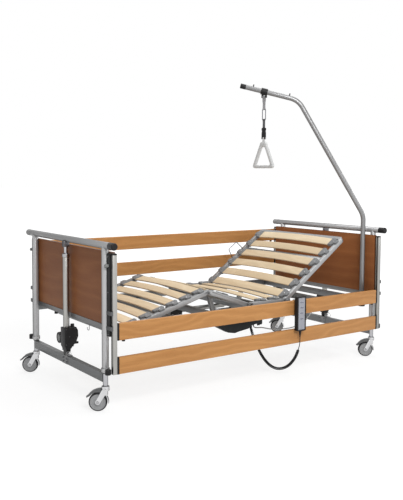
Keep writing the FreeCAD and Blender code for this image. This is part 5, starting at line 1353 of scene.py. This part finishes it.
class BED_OT_lifts(bpy.types.Operator):
    """Finishes the crossbars, inner tubes and the two lifts with their gear housings and motors"""
    bl_idname = "bed.lifts"
    bl_label = "Bases and lifts"

    def execute(self, context):
        detail = context.scene.bed_detail
        softened("lift_rods", detail.edge, lift_rod_finish)
        for name, end in ENDS.items():
            softened(name + "_base_frame", detail.edge, base_finish)
            softened(name + "_lift_drive", detail.edge, lift_finish)
            self.add_motor_end(name, end)
            self.add_ribs(name, end, detail.rib / MM)
            self.add_screws(name, end)
        fasten("lift_rods", "head_bolts", "hex_bolt", 5.5, "zinc",
               [((end * LIFT_X, s * 16.0, 855.0), (0, s, 0)) for end in BOTH for s in BOTH])
        return {"FINISHED"}

    def add_motor_end(self, name, end):
        """Stepped end cover with a pale middle."""
        shape = bmesh.new()
        profile = ((1.4, 0.0), (1.4, 18.0), (0.9, 19.0), (0.9, 21.0), (1.9, 22.0), (1.9, 25.0), (0.8, 26.5),
                   (0.8, 30.5), (-0.5, 31.0), (-0.5, 0.0))
        lathe(shape, profile, (end * MOTOR_END_X, MOTOR_Y, MOTOR_Z), (end, 0, 0), [0, 0] + [1] * 7)
        formed(name + "_motor_cover", shape, ("button_grey", "black_plastic"), name + "_base")

    def add_ribs(self, name, end, pitch):
        rib = bmesh.new()
        lathe(rib, ((-0.0012, 0.0322), (-0.0008, 0.0332), (0.0008, 0.0332), (0.0012, 0.0322)), (0, 0, 0),
              (1, 0, 0), 0, 48)
        rib = pattern("motor_rib", rib)
        places = [(end * (MOTOR_END_X - 14.0 - k * pitch), MOTOR_Y, MOTOR_Z) for k in range(8)]
        points = marked_points(places, "turn", [(0.0, 0.0, 0.0)] * len(places))
        grown(name + "_motor_ribs", points, "Bed Row", {"Piece": rib}, "black_plastic", name + "_base")
        bpy.data.objects.remove(rib)

    def add_screws(self, name, end):
        near = [(-15.0, 362.0), (-15.0, 272.0), (42.0, 362.0), (52.0, 312.0), (30.0, 262.0), (8.0, 318.0)]
        far = [(-15.0, 362.0), (42.0, 362.0)]
        fasten(name + "_lift_drive", "housing_screws", "cross_screw", 3.4, "dark_screw",
               [((end * (LIFT_X - u), side * GEAR_HALF, z), (0, side, 0))
                for side, spots in ((NEAR, near), (FAR, far)) for u, z in spots])
        fasten(name + "_lift_drive", "motor_screws", "cross_screw", 1.9, "bright_steel",
               [((end * (MOTOR_END_X + 0.8), MOTOR_Y + MOTOR_SCREW_R * math.cos(a),
                  MOTOR_Z + MOTOR_SCREW_R * math.sin(a)), (end, 0, 0)) for a in (0.5, 2.6, 4.7)])
        fasten(name + "_base_frame", "saddle_bolts", "hex_bolt", 4.6, "zinc",
               [((end * END_X + s * SADDLE_HALF, y, z), (s, 0, 0)) for s in BOTH for y in SADDLE_BOLT_Y
                for z in SADDLE_BOLT_Z])


def drive_finish(spot):
    """The drawn tubes lie between the two drives' black housings, clear of their motors."""
    low, high = DRIVE_TUBES_X
    tube = low < spot.centre.x < high and abs(spot.centre.y) < DRIVE_TUBES_Y
    return "drawn_aluminium" if tube else "black_plastic"


class BED_OT_drives(bpy.types.Operator):
    """Finishes the back and leg drives, their rods and the control box between them"""
    bl_idname = "bed.drives"
    bl_label = "Drives and control box"

    def execute(self, context):
        for drive in DRIVE_COVERS:
            softened(drive, DRIVE_EDGE, drive_finish, segments=3)
        for drive in DRIVE_COVERS:
            softened(drive + "_rod", context.scene.bed_detail.edge, "polished_chrome")
        for drive, (side, xs, zs) in DRIVE_COVERS.items():
            fasten(drive, "cover_screws", "cross_screw", 2.6, "bright_steel",
                   [((x, side * DRIVE_COVER_Y, z), (0, -side, 0)) for x in xs for z in zs])
        self.add_control_box()
        return {"FINISHED"}

    def add_control_box(self):
        """Two half shells with an open seam, the mains inlet, the cords' glands and a row of plugs."""
        outline = rounded(CONTROL_SIDE, 9.0, 3)
        near, far = CONTROL_Y
        seam = (near + far) / 2
        shrunk = [((x - 60.0) * 0.985 + 60.0, (z - 285.0) * 0.95 + 285.0) for x, z in outline]
        inlet = round_rectangle(-74.0, -46.0, 290.0, 312.0, 3.0)
        opening = round_rectangle(-71.0, -49.0, 293.0, 309.0, 2.0)
        whole = gathered(prism(outline, near, seam - CONTROL_SEAM / 2, facing, 2.4, 3),
                         prism(outline, seam + CONTROL_SEAM / 2, far, facing, 2.4, 3),
                         prism(shrunk, seam - 2.0, seam + 2.0, facing, finish=1),
                         frame_ring(inlet, opening, far - 0.5, far + 14.0, facing, 0.6, 1))
        coil_gland = ((-6.0, 0.0), (-6.0, 5.5), (-4.0, 7.0), (0.0, 10.0), (24.0, 10.0), (24.0, 0.0))
        cable_gland = ((-9.0, 0.0), (-9.0, 4.6), (-6.0, 6.4), (0.0, 7.0), (7.0, 7.0), (7.0, 0.0))
        for gland, end, before in ((coil_gland, COIL_ROUTE[-1], COIL_ROUTE[-2]),
                                   (cable_gland, CABLE_ROUTE[0], CABLE_ROUTE[1])):
            lathe(whole, gland, end, (Vector(end) - Vector(before)).normalized(), 1)
        for x in (228.0, 240.0):
            lathe(whole, ((-5.0, 0.0), (-5.0, 3.6), (-3.0, 4.6), (3.0, 5.0), (3.0, 0.0)),
                  (x, seam, 270.5), UP, 1, 20)
        formed("control_box_shells", whole, ("slate_plastic", "black_plastic"), "main_frame",
               ("control_box",))
        spots = ((-116.0, 310.0), (-40.0, 266.0), (60.0, 262.0), (60.0, 309.0), (160.0, 309.0),
                 (241.0, 309.0), (150.0, 281.0))
        fasten("control_box", "shell_screws", "cross_screw", 2.8, "dark_screw",
               [((x, near, z), (0, -1, 0)) for x, z in spots])


# ------------------------------------------------------------------ casters
class BED_OT_casters(bpy.types.Operator):
    """Makes the wheels and finishes the forks and brake pedals"""
    bl_idname = "bed.casters"
    bl_label = "Casters"

    def execute(self, context):
        for name, end, side in corners():
            foot = Vector((end * END_X, side * SIDE_Y, 0))
            axle = foot + TRAIL_WAY * CASTER_OFFSET + UP * WHEEL_R
            crown = foot + UP * 124.0 - TRAIL_WAY * 2.0
            softened(name + "_fork", context.scene.bed_detail.edge, "fork_plate")
            softened(name + "_brake_pedal", PEDAL_EDGE, "pedal_grey", segments=3)
            self.add_wheel(name, axle)
            fasten(name + "_fork", "axle_nuts", "hex_bolt", 7.2, "bright_steel",
                   [(axle + AXLE_WAY * s * FORK_OUT, AXLE_WAY * s) for s in BOTH])
            fasten(name + "_fork", "crown_rivets", "rivet", 4.0, "bright_steel",
                   [(crown + AXLE_WAY * s * CROWN_OUT, AXLE_WAY * s) for s in BOTH])
        return {"FINISHED"}

    def add_wheel(self, name, centre):
        """Tyre with a crowned tread, a dished disc with a stepped ring, and the hub."""
        half = ((0.0, WHEEL_R), (6.0, WHEEL_R - 0.1), (9.5, WHEEL_R - 0.9), (12.3, WHEEL_R - 3.0),
                (WHEEL_HALF, TYRE_R + 2.0), (WHEEL_HALF - 0.4, TYRE_R), (WHEEL_HALF - 1.6, TYRE_R - 0.8),
                (WHEEL_HALF - 1.8, TYRE_R - 3.5), (9.6, TYRE_R - 5.5), (9.0, 30.0), (8.0, 29.0),
                (8.0, 20.0), (10.0, HUB_R + 1.5), (HUB_HALF - 1.0, HUB_R), (HUB_HALF, HUB_R - 1.0),
                (HUB_HALF, AXLE_BORE))
        profile = [(-y, r) for y, r in reversed(half)] + list(half[1:])
        on_tyre = [(low[1] + high[1]) / 2 > TYRE_R + 0.9 for low, high in zip(profile, profile[1:])]
        shape = bmesh.new()
        lathe(shape, profile, centre, AXLE_WAY, [int(tyre) for tyre in on_tyre] + [0], 56)
        formed(name + "_wheel_turned", shape, ("wheel_plastic", "tyre_rubber"), name + "_wheel",
               (name + "_wheel",))


# ------------------------------------------------------------------ side guards
BAND_TOP = 600.0
UNDER_RAIL_Z = 300.0           # the knob and hook under the foot end's rail lie above this
FLAT_KNOB_HEIGHT = 20.0
BUSH_WIDTH = 60.0
CORNER_KNOB = (1050.0, 512.0)
CORNER_KNOB_R = 16.8


def guide_finish(spot):
    """Painted bands below, drawn rails above."""
    return "band_paint" if spot.high.z < BAND_TOP else "drawn_aluminium"


def knob_finish(spot):
    """Black knobs and bushes; the clamp rings are painted and the hook is zinc plated."""
    size = spot.high - spot.low
    if spot.low.z > UNDER_RAIL_Z:
        return "black_plastic" if size.z < FLAT_KNOB_HEIGHT else "zinc"
    if size.y < BUSH_WIDTH:
        return "black_plastic"
    away = math.hypot(abs(spot.centre.x) - CORNER_KNOB[0], abs(spot.centre.y) - CORNER_KNOB[1])
    return "black_plastic" if away < CORNER_KNOB_R else "silver_paint"


class BED_OT_guards(bpy.types.Operator):
    """Finishes the side guards: guide rails, latches, knobs, release buttons and wooden bars"""
    bl_idname = "bed.guards"
    bl_label = "Side guards"

    def execute(self, context):
        detail = context.scene.bed_detail
        softened("guide_rails", detail.edge, guide_finish)
        softened("latch_housings", LATCH_EDGE, "black_plastic")
        softened("knobs_and_bushes", detail.edge, knob_finish, segments=3)
        for name, _, _ in corners():
            softened(name + "_button", detail.edge, "button_grey")
        for side in SIDES:
            softened(side + "_bars", detail.wood_edge, "bar_wood", segments=3)
            softened(side + "_bar_ends", BAR_END_EDGE, "black_plastic")
        fasten("latch_housings", "latch_screws", "cross_screw", 3.2, "bright_steel",
               [((end * LATCH_X, side * LATCH_Y, z), (end, 0, 0)) for _, end, side in corners()
                for z in LATCH_SCREW_Z])
        fasten("guide_rails", "band_screws", "socket_screw", 3.6, "zinc",
               [((end * (LATCH_X + 3.0), side * y, z), (end, 0, 0)) for _, end, side in corners()
                for y in BAND_SCREW_Y for z in BAND_SCREW_Z])
        return {"FINISHED"}


# ------------------------------------------------------------------ panels and slats
def panel_finish(spot):
    """The panels' edges are darker than their faces."""
    return "panel_wood" if abs(spot.normal.x) > 0.6 else "panel_edge"


class BED_OT_panels(bpy.types.Operator):
    """Finishes the two end panels with their darker edges"""
    bl_idname = "bed.panels"
    bl_label = "End panels"

    def execute(self, context):
        softened("end_panels", PANEL_EDGE, panel_finish, segments=3)
        return {"FINISHED"}


class BED_OT_slats(bpy.types.Operator):
    """Makes the rows of arched slats and their holders"""
    bl_idname = "bed.slats"
    bl_label = "Slats"

    def execute(self, context):
        holder = self.holder_pattern()
        for name, section in SECTIONS.items():
            self.add_slats(name, section, context.scene.bed_detail.slat_edge)
            self.add_holders(name, section, holder)
            self.add_rivets(name, section)
        bpy.data.objects.remove(holder)
        return {"FINISHED"}

    def add_slats(self, name, section, edge):
        tilt = -math.radians(section.lift)
        height = SLAT_BASE + SLAT_THICKNESS / 2
        places = [on_section(section, s, 0.0, height) for s in section.stations]
        points = marked_points(places, "turn", [(0.0, tilt, 0.0)] * len(places))
        reach = section.half - RAIL_WIDTH - HOLDER_LENGTH + SLAT_END_IN
        grown(name + "_slat_row", points, "Bed Slats",
              {"Length": 2 * reach * MM, "Width": SLAT_WIDTH * MM, "Thickness": SLAT_THICKNESS * MM,
               "Crown": SLAT_CROWN * MM, "Edge": edge, "Seed": 4 + len(places)},
              "slat_wood", section.body, (name + "_slats",))

    def holder_pattern(self):
        """Pocket for a slat's end, narrowed to the foot that sits on the rail, with a round boss."""
        low, high = HOLDER_Z
        wide, neck, shoulder = HOLDER_WIDTH / 2, 23.0, 27.0
        right = [(wide, 0.0), (wide, shoulder), (neck, HOLDER_LENGTH - 9.0), (neck, HOLDER_LENGTH)]
        outline = rounded([(-wide, 0.0)] + right + [(-x, y) for x, y in reversed(right[1:])], 6.0, 3)
        foot = round_rectangle(-18.0, 18.0, HOLDER_LENGTH - 8.0, HOLDER_LENGTH + RAIL_WIDTH - 3.0, 9.0, 3)
        whole = gathered(prism(outline, low, high, lying, 2.2))
        lathe(whole, ((-4.0, 0.0), (-4.0, 9.0), (0.6, 9.0), (1.4, 8.0), (1.4, 0.0)),
              (0.0, HOLDER_LENGTH - 12.0, high), UP, 0, 20)
        absorb(whole, prism(foot, RAIL_TOP + 0.2, high + 1.2, lying, 1.6))
        for x in (-26.0, 26.0):
            pad = round_rectangle(x - 4.0, x + 4.0, 5.0, 21.0, 3.0, 2)
            absorb(whole, prism(pad, high - 1.0, high + 0.8, lying, 0.5))
        bmesh.ops.scale(whole, verts=whole.verts, vec=(MM, MM, MM))
        return pattern("holder", whole)

    def add_holders(self, name, section, holder):
        tilt = math.radians(section.lift)
        out = section.half - RAIL_WIDTH - HOLDER_LENGTH
        places, turns = [], []
        for s in section.stations:
            places += [on_section(section, s, -out, 0.0), on_section(section, s, out, 0.0)]
            turns += [(0.0, tilt, math.pi), (0.0, -tilt, 0.0)]
        grown(name + "_holder_row", marked_points(places, "turn", turns), "Bed Row", {"Piece": holder},
              "holder_grey", section.body, (name + "_holders",))

    def add_rivets(self, name, section):
        out = section.half - RAIL_WIDTH - 12.0
        normal = on_section(section, 0.0, 0.0, 1.0) - on_section(section, 0.0, 0.0, 0.0)
        fasten(name + "_holders", "rivets", "rivet", 4.6, "bright_steel",
               [(on_section(section, s, side * out, HOLDER_Z[1] + 1.4), normal)
                for s in section.stations for side in BOTH])


# ------------------------------------------------------------------ pole, strap and handle
class BED_OT_pole(bpy.types.Operator):
    """Finishes the lifting pole and its clamp, and makes the strap, its fittings and the handle"""
    bl_idname = "bed.pole"
    bl_label = "Lifting pole and strap"

    def execute(self, context):
        detail = context.scene.bed_detail
        softened("pole", detail.edge, "pole_paint")
        softened("pole_cap_and_pegs", detail.edge, "black_plastic")
        softened("strap_clamp", CLAMP_EDGE, "black_plastic", segments=3)
        self.add_strap(detail.stitch)
        self.add_fittings()
        self.add_handle()
        return {"FINISHED"}

    def add_strap(self, pitch):
        """Two folds of webbing: from the clamp's pin to the ring, and from the ring to the buckle."""
        shape = bmesh.new()
        band = shape.loops.layers.uv.new("band")
        ribbon(shape, band, fold(STRAP_PIN.z, RING_BARS[0], 4.6, 4.4), upper_width, 0)
        ribbon(shape, band, fold(RING_BARS[1], BUCKLE_TOP_Z - FOLD_SUNK, 4.4, 1.2), lambda z: 20.0, 1)
        formed("strap_webbing", shape, ("strap_weave", "strap_dark"), "strap", ("strap",))
        lines = []
        for face in BOTH:
            for z0, z1, half in ((1722.0, 1742.0, 8.5), (1765.0, 1783.0, 11.0), (1606.0, 1622.0, 7.5)):
                lines += box_stitch(z0, z1, half, face)
        beads("strap_stitches", "strap", lines, pitch, (2.1, 0.8, 0.6), "thread")

    def add_fittings(self):
        """Wire ring, ladder buckle and the fork that holds the handle's pin."""
        outer = round_rectangle(-17.0, 17.0, 1636.0, 1712.0, 10.0)
        inner = round_rectangle(-11.5, 11.5, 1641.5, 1706.5, 6.0)
        top, foot = BUCKLE_TOP_Z, BUCKLE_FOOT_Z
        right = [(15.0, top), (17.0, top - 12.0), (13.0, top - 24.0), (16.0, top - 36.0),
                 (16.0, foot - 6.0)]
        body = rounded([(-15.0, top)] + right + [(-x, z) for x, z in reversed(right[1:])], 4.0, 2)
        whole = gathered(frame_ring(outer, inner, -2.8, 2.8, across_strap, 2.4),
                         prism(body, -7.0, 7.0, across_strap, 2.0, finish=1))
        for z in (top - 12.0, top - 36.0):
            bar = round_rectangle(-12.0, 12.0, z - 4.0, z + 4.0, 2.0, 2)
            absorb(whole, prism(bar, -8.0, 8.0, across_strap, 1.2, finish=1))
        for low, high in ((-16.0, -8.6), (8.6, 16.0)):
            arm = round_rectangle(low, high, YOKE_FOOT_Z, foot, 3.0, 2)
            absorb(whole, prism(arm, -7.0, 7.0, across_strap, 1.2, finish=1))
        lathe(whole, ((-17.0, 0.0), (-17.0, 4.0), (17.0, 4.0), (17.0, 0.0)),
              strap_point(0.0, 0.0, HANDLE_PIN_Z), STRAP_WIDE, 0, 16)
        formed("strap_fittings_made", whole, ("zinc", "black_plastic"), "strap",
               ("strap_fittings",))
        fasten("strap_fittings", "pin_heads", "rivet", 5.0, "bright_steel",
               [(strap_point(s * 16.6, 0.0, HANDLE_PIN_Z), STRAP_WIDE * s) for s in BOTH])

    def add_handle(self):
        """Rounded triangle with a web and an eye at its top."""
        (top, top_z), (foot, foot_z) = HANDLE_TOP, HANDLE_FOOT
        slope = (foot - top) / (top_z - foot_z)
        inner_top, inner_foot = top_z - 38.0, foot_z + 21.0
        low, high = (top + (top_z - z) * slope - 23.5 for z in (inner_foot, inner_top))
        outer = rounded(((-top, top_z), (top, top_z), (foot, foot_z), (-foot, foot_z)), 22.0, 6)
        inner = rounded(((-high, inner_top), (high, inner_top), (low, inner_foot), (-low, inner_foot)),
                        12.0, 6)
        tongue = round_rectangle(-7.5, 7.5, top_z - 6.0, HANDLE_PIN_Z + 6.5, 3.0, 2)
        whole = gathered(frame_ring(outer, inner, -HANDLE_HALF, HANDLE_HALF, across_strap, 6.0),
                         prism(tongue, -6.0, 6.0, across_strap, 1.5))
        formed("trapeze_handle_made", whole, ("white_plastic",), "handle",
               ("trapeze_handle",))


def across_strap(u, v, w):
    """Places an outline of (width, height) points in the strap's plane."""
    return strap_point(u, w, v)


def strap_point(wide, thick, z):
    point = STRAP_PIN + STRAP_WIDE * wide + STRAP_THICK * thick
    point.z = z
    return point


def upper_width(z):
    """The strap narrows below the clamp."""
    t = min(1.0, max(0.0, (z - 1745.0) / 28.0))
    return 22.0 + 7.0 * t * t * (3 - 2 * t)


def bend(radius, z, start, steps=12):
    """(thick, z) points round a bar, from an angle in degrees through 210 degrees."""
    turns = [math.radians(start + 210 * k / steps) for k in range(steps + 1)]
    return [(radius * math.cos(a), z + radius * math.sin(a)) for a in turns]


def fold(top_z, foot_z, top_r, foot_r, steps=10):
    """Closed line of (thick, z) points, from one bar down to the next and back."""
    run = foot_z - top_z + 2 * FOLD_IN
    down = [(-FOLD_GAP, top_z - FOLD_IN + run * k / steps) for k in range(steps + 1)]
    back = [(FOLD_GAP, foot_z + FOLD_IN - run * k / steps) for k in range(steps + 1)]
    return bend(top_r, top_z, -15) + down + bend(foot_r, foot_z, 165) + back


def ribbon(shape, band, line, width_at, finish):
    """Sweeps a thin band along a closed line, mapping it along and across."""
    line = [Vector(p) for p in line]
    count = len(line)
    rings, run = [], [0.0]
    for k, (u, z) in enumerate(line):
        after = line[(k + 1) % count]
        along = (after - line[k - 1]).normalized()
        out = Vector((along.y, -along.x)) * (STRAP_LAYER / 2)
        half = width_at(z) / 2
        rings.append([shape.verts.new(strap_point(w, u + s * out.x, z + s * out.y))
                      for w, s in ((-half, -1), (half, -1), (half, 1), (-half, 1))])
        run.append(run[-1] + (after - line[k]).length * MM)
    for k in range(count):
        low, high = rings[k], rings[(k + 1) % count]
        half = width_at(line[k].y) / 2 * MM
        across = dict(zip(low + high, (-half, half, half, -half) * 2))
        for j in range(4):
            face = shape.faces.new((low[j - 1], low[j], high[j], high[j - 1]))
            face.material_index = finish
            for loop in face.loops:
                loop[band].uv = (run[k] if loop.vert in low else run[k + 1], across[loop.vert])


def box_stitch(z0, z1, half, face):
    """Box with a cross, sewn through both layers."""
    depth = face * (FOLD_GAP + STRAP_LAYER / 2 + 0.05)
    corner = [(strap_point(w, depth, z), STRAP_THICK * face) for w, z in rectangle(-half, half, z0, z1)]
    return [corner + corner[:1], corner[::2], corner[1::2]]


# ------------------------------------------------------------------ handset
class BED_OT_handset(bpy.types.Operator):
    """Makes the handset: case, sunk keypad, keys with plain arrows, hook and strain relief"""
    bl_idname = "bed.handset"
    bl_label = "Handset"

    def execute(self, context):
        self.add_case()
        self.add_keys()
        return {"FINISHED"}

    def add_case(self):
        x0, x1 = HANDSET_X
        z0, z1 = HANDSET_Z
        front, back = HANDSET_Y
        rim, sunk = HANDSET_FRAME, front + HANDSET_SUNK
        outline = round_rectangle(x0, x1, z0, z1, 9.0)
        inner = round_rectangle(x0 + rim, x1 - rim, z0 + rim, z1 - rim, 3.5)
        hook = ((back - 2.0, 478.3), (-515.7, 478.3), (-515.7, 452.3), (-512.7, 452.3), (-512.7, 481.3),
                (back - 2.0, 481.3))
        whole = gathered(prism(outline, front + 2.4, back, facing, 2.6, 3),
                         frame_ring(outline, inner, front, front + 3.2, facing, 0.9),
                         prism(inner, sunk, sunk + 1.0, facing, finish=1),
                         prism(hook, 249.0, 289.0, lambda u, v, w: (w, u, v), 0.8))
        relief_foot = (HANDSET_MIDDLE, (front + back) / 2, RELIEF_Z)
        lathe(whole, self.relief_profile(z0 - RELIEF_Z), relief_foot, UP, 0, 24)
        formed("handset_case", whole, ("black_plastic", "key_foil"), "handset",
               ("handset",))
        fasten("handset", "back_screws", "cross_screw", 2.6, "dark_screw",
               [((x, back, z), (0, 1, 0)) for x in (x0 + 9.0, x1 - 9.0) for z in (z0 + 9.0, z1 - 9.0)])

    def relief_profile(self, tall, rings=8):
        """Strain relief that narrows downwards, with a groove between its rings."""
        wide, slim = RELIEF_R
        profile = [(tall, 0.0), (tall, wide)]
        for k in range(rings):
            t = (k + 0.5) / rings
            radius = wide + (slim - wide) * t
            along = tall * (1 - t)
            profile += [(along + 1.4, radius), (along + 0.9, radius - 0.9), (along - 0.9, radius - 0.9),
                        (along - 1.4, radius)]
        return profile + [(0.0, slim), (0.0, 0.0)]

    def add_keys(self):
        front = HANDSET_Y[0] + HANDSET_SUNK
        keys = [(HANDSET_MIDDLE + u, z) for u in KEY_COLUMNS for z in KEY_ROWS]
        fasten("handset", "keys", "key", KEY_R, "key_cap",
               [((x, front + 0.05, z), (0, -1, 0)) for x, z in keys])
        whole = bmesh.new()
        for x, z in keys:
            way = -1 if x < HANDSET_MIDDLE else 1
            arrow = ((x - 4.2, z - way * 2.6), (x + 4.2, z - way * 2.6), (x, z + way * 4.4))
            absorb(whole, prism(arrow, front - 1.15, front - 0.6, facing))
        lamp = round_rectangle(HANDSET_MIDDLE - 2.0, HANDSET_MIDDLE + 2.0, 491.0, 494.0, 1.2, 2)
        absorb(whole, prism(lamp, front - 0.3, front + 0.1, facing))
        for z in KEY_ROWS:
            bar = round_rectangle(HANDSET_MIDDLE - 1.6, HANDSET_MIDDLE + 1.6, z - 5.0, z + 5.0, 1.2, 2)
            absorb(whole, prism(bar, front - 0.25, front + 0.1, facing))
        formed("handset_marks", whole, ("key_mark",), "handset")


# ------------------------------------------------------------------ panel and running
OPERATORS = (BED_OT_studio, BED_OT_cords, BED_OT_frames, BED_OT_welds, BED_OT_lifts, BED_OT_drives,
             BED_OT_casters, BED_OT_guards, BED_OT_panels, BED_OT_slats, BED_OT_pole, BED_OT_handset)
SHADER_EFFECTS = (tone_effect, wear_effect, dust_effect, wood_effect, weave_effect, brushed_effect)
TREES = (fastener_tree, row_tree, slat_tree, bead_tree)


class BED_PT_sidebar(bpy.types.Panel):
    """Lists the bed's settings and the steps that build it"""
    bl_idname = "BED_PT_sidebar"
    bl_label = "Care Bed"
    bl_space_type = "VIEW_3D"
    bl_region_type = "UI"
    bl_category = "Care Bed"

    def draw(self, context):
        for label, settings in SETTINGS.items():
            box = self.layout.box()
            for name in settings.__annotations__:
                box.prop(getattr(context.scene, label), name)
        for operator in OPERATORS:
            self.layout.operator(operator.bl_idname)


def register():
    for settings in SETTINGS.values():
        bpy.utils.register_class(settings)
    for label, settings in SETTINGS.items():
        setattr(bpy.types.Scene, label, bpy.props.PointerProperty(type=settings))
    for operator in OPERATORS:
        bpy.utils.register_class(operator)
    bpy.utils.register_class(BED_PT_sidebar)


def unregister():
    bpy.utils.unregister_class(BED_PT_sidebar)
    for operator in reversed(OPERATORS):
        bpy.utils.unregister_class(operator)
    for label in SETTINGS:
        delattr(bpy.types.Scene, label)
    for settings in SETTINGS.values():
        bpy.utils.unregister_class(settings)


def main():
    register()
    for make in SHADER_EFFECTS + TREES:
        make()
    make_finishes(bpy.context.scene.bed_finish)
    for operator in OPERATORS:
        step = getattr(bpy.ops.bed, operator.bl_idname.split(".")[1])
        step()


if __name__ == "__main__":
    main()
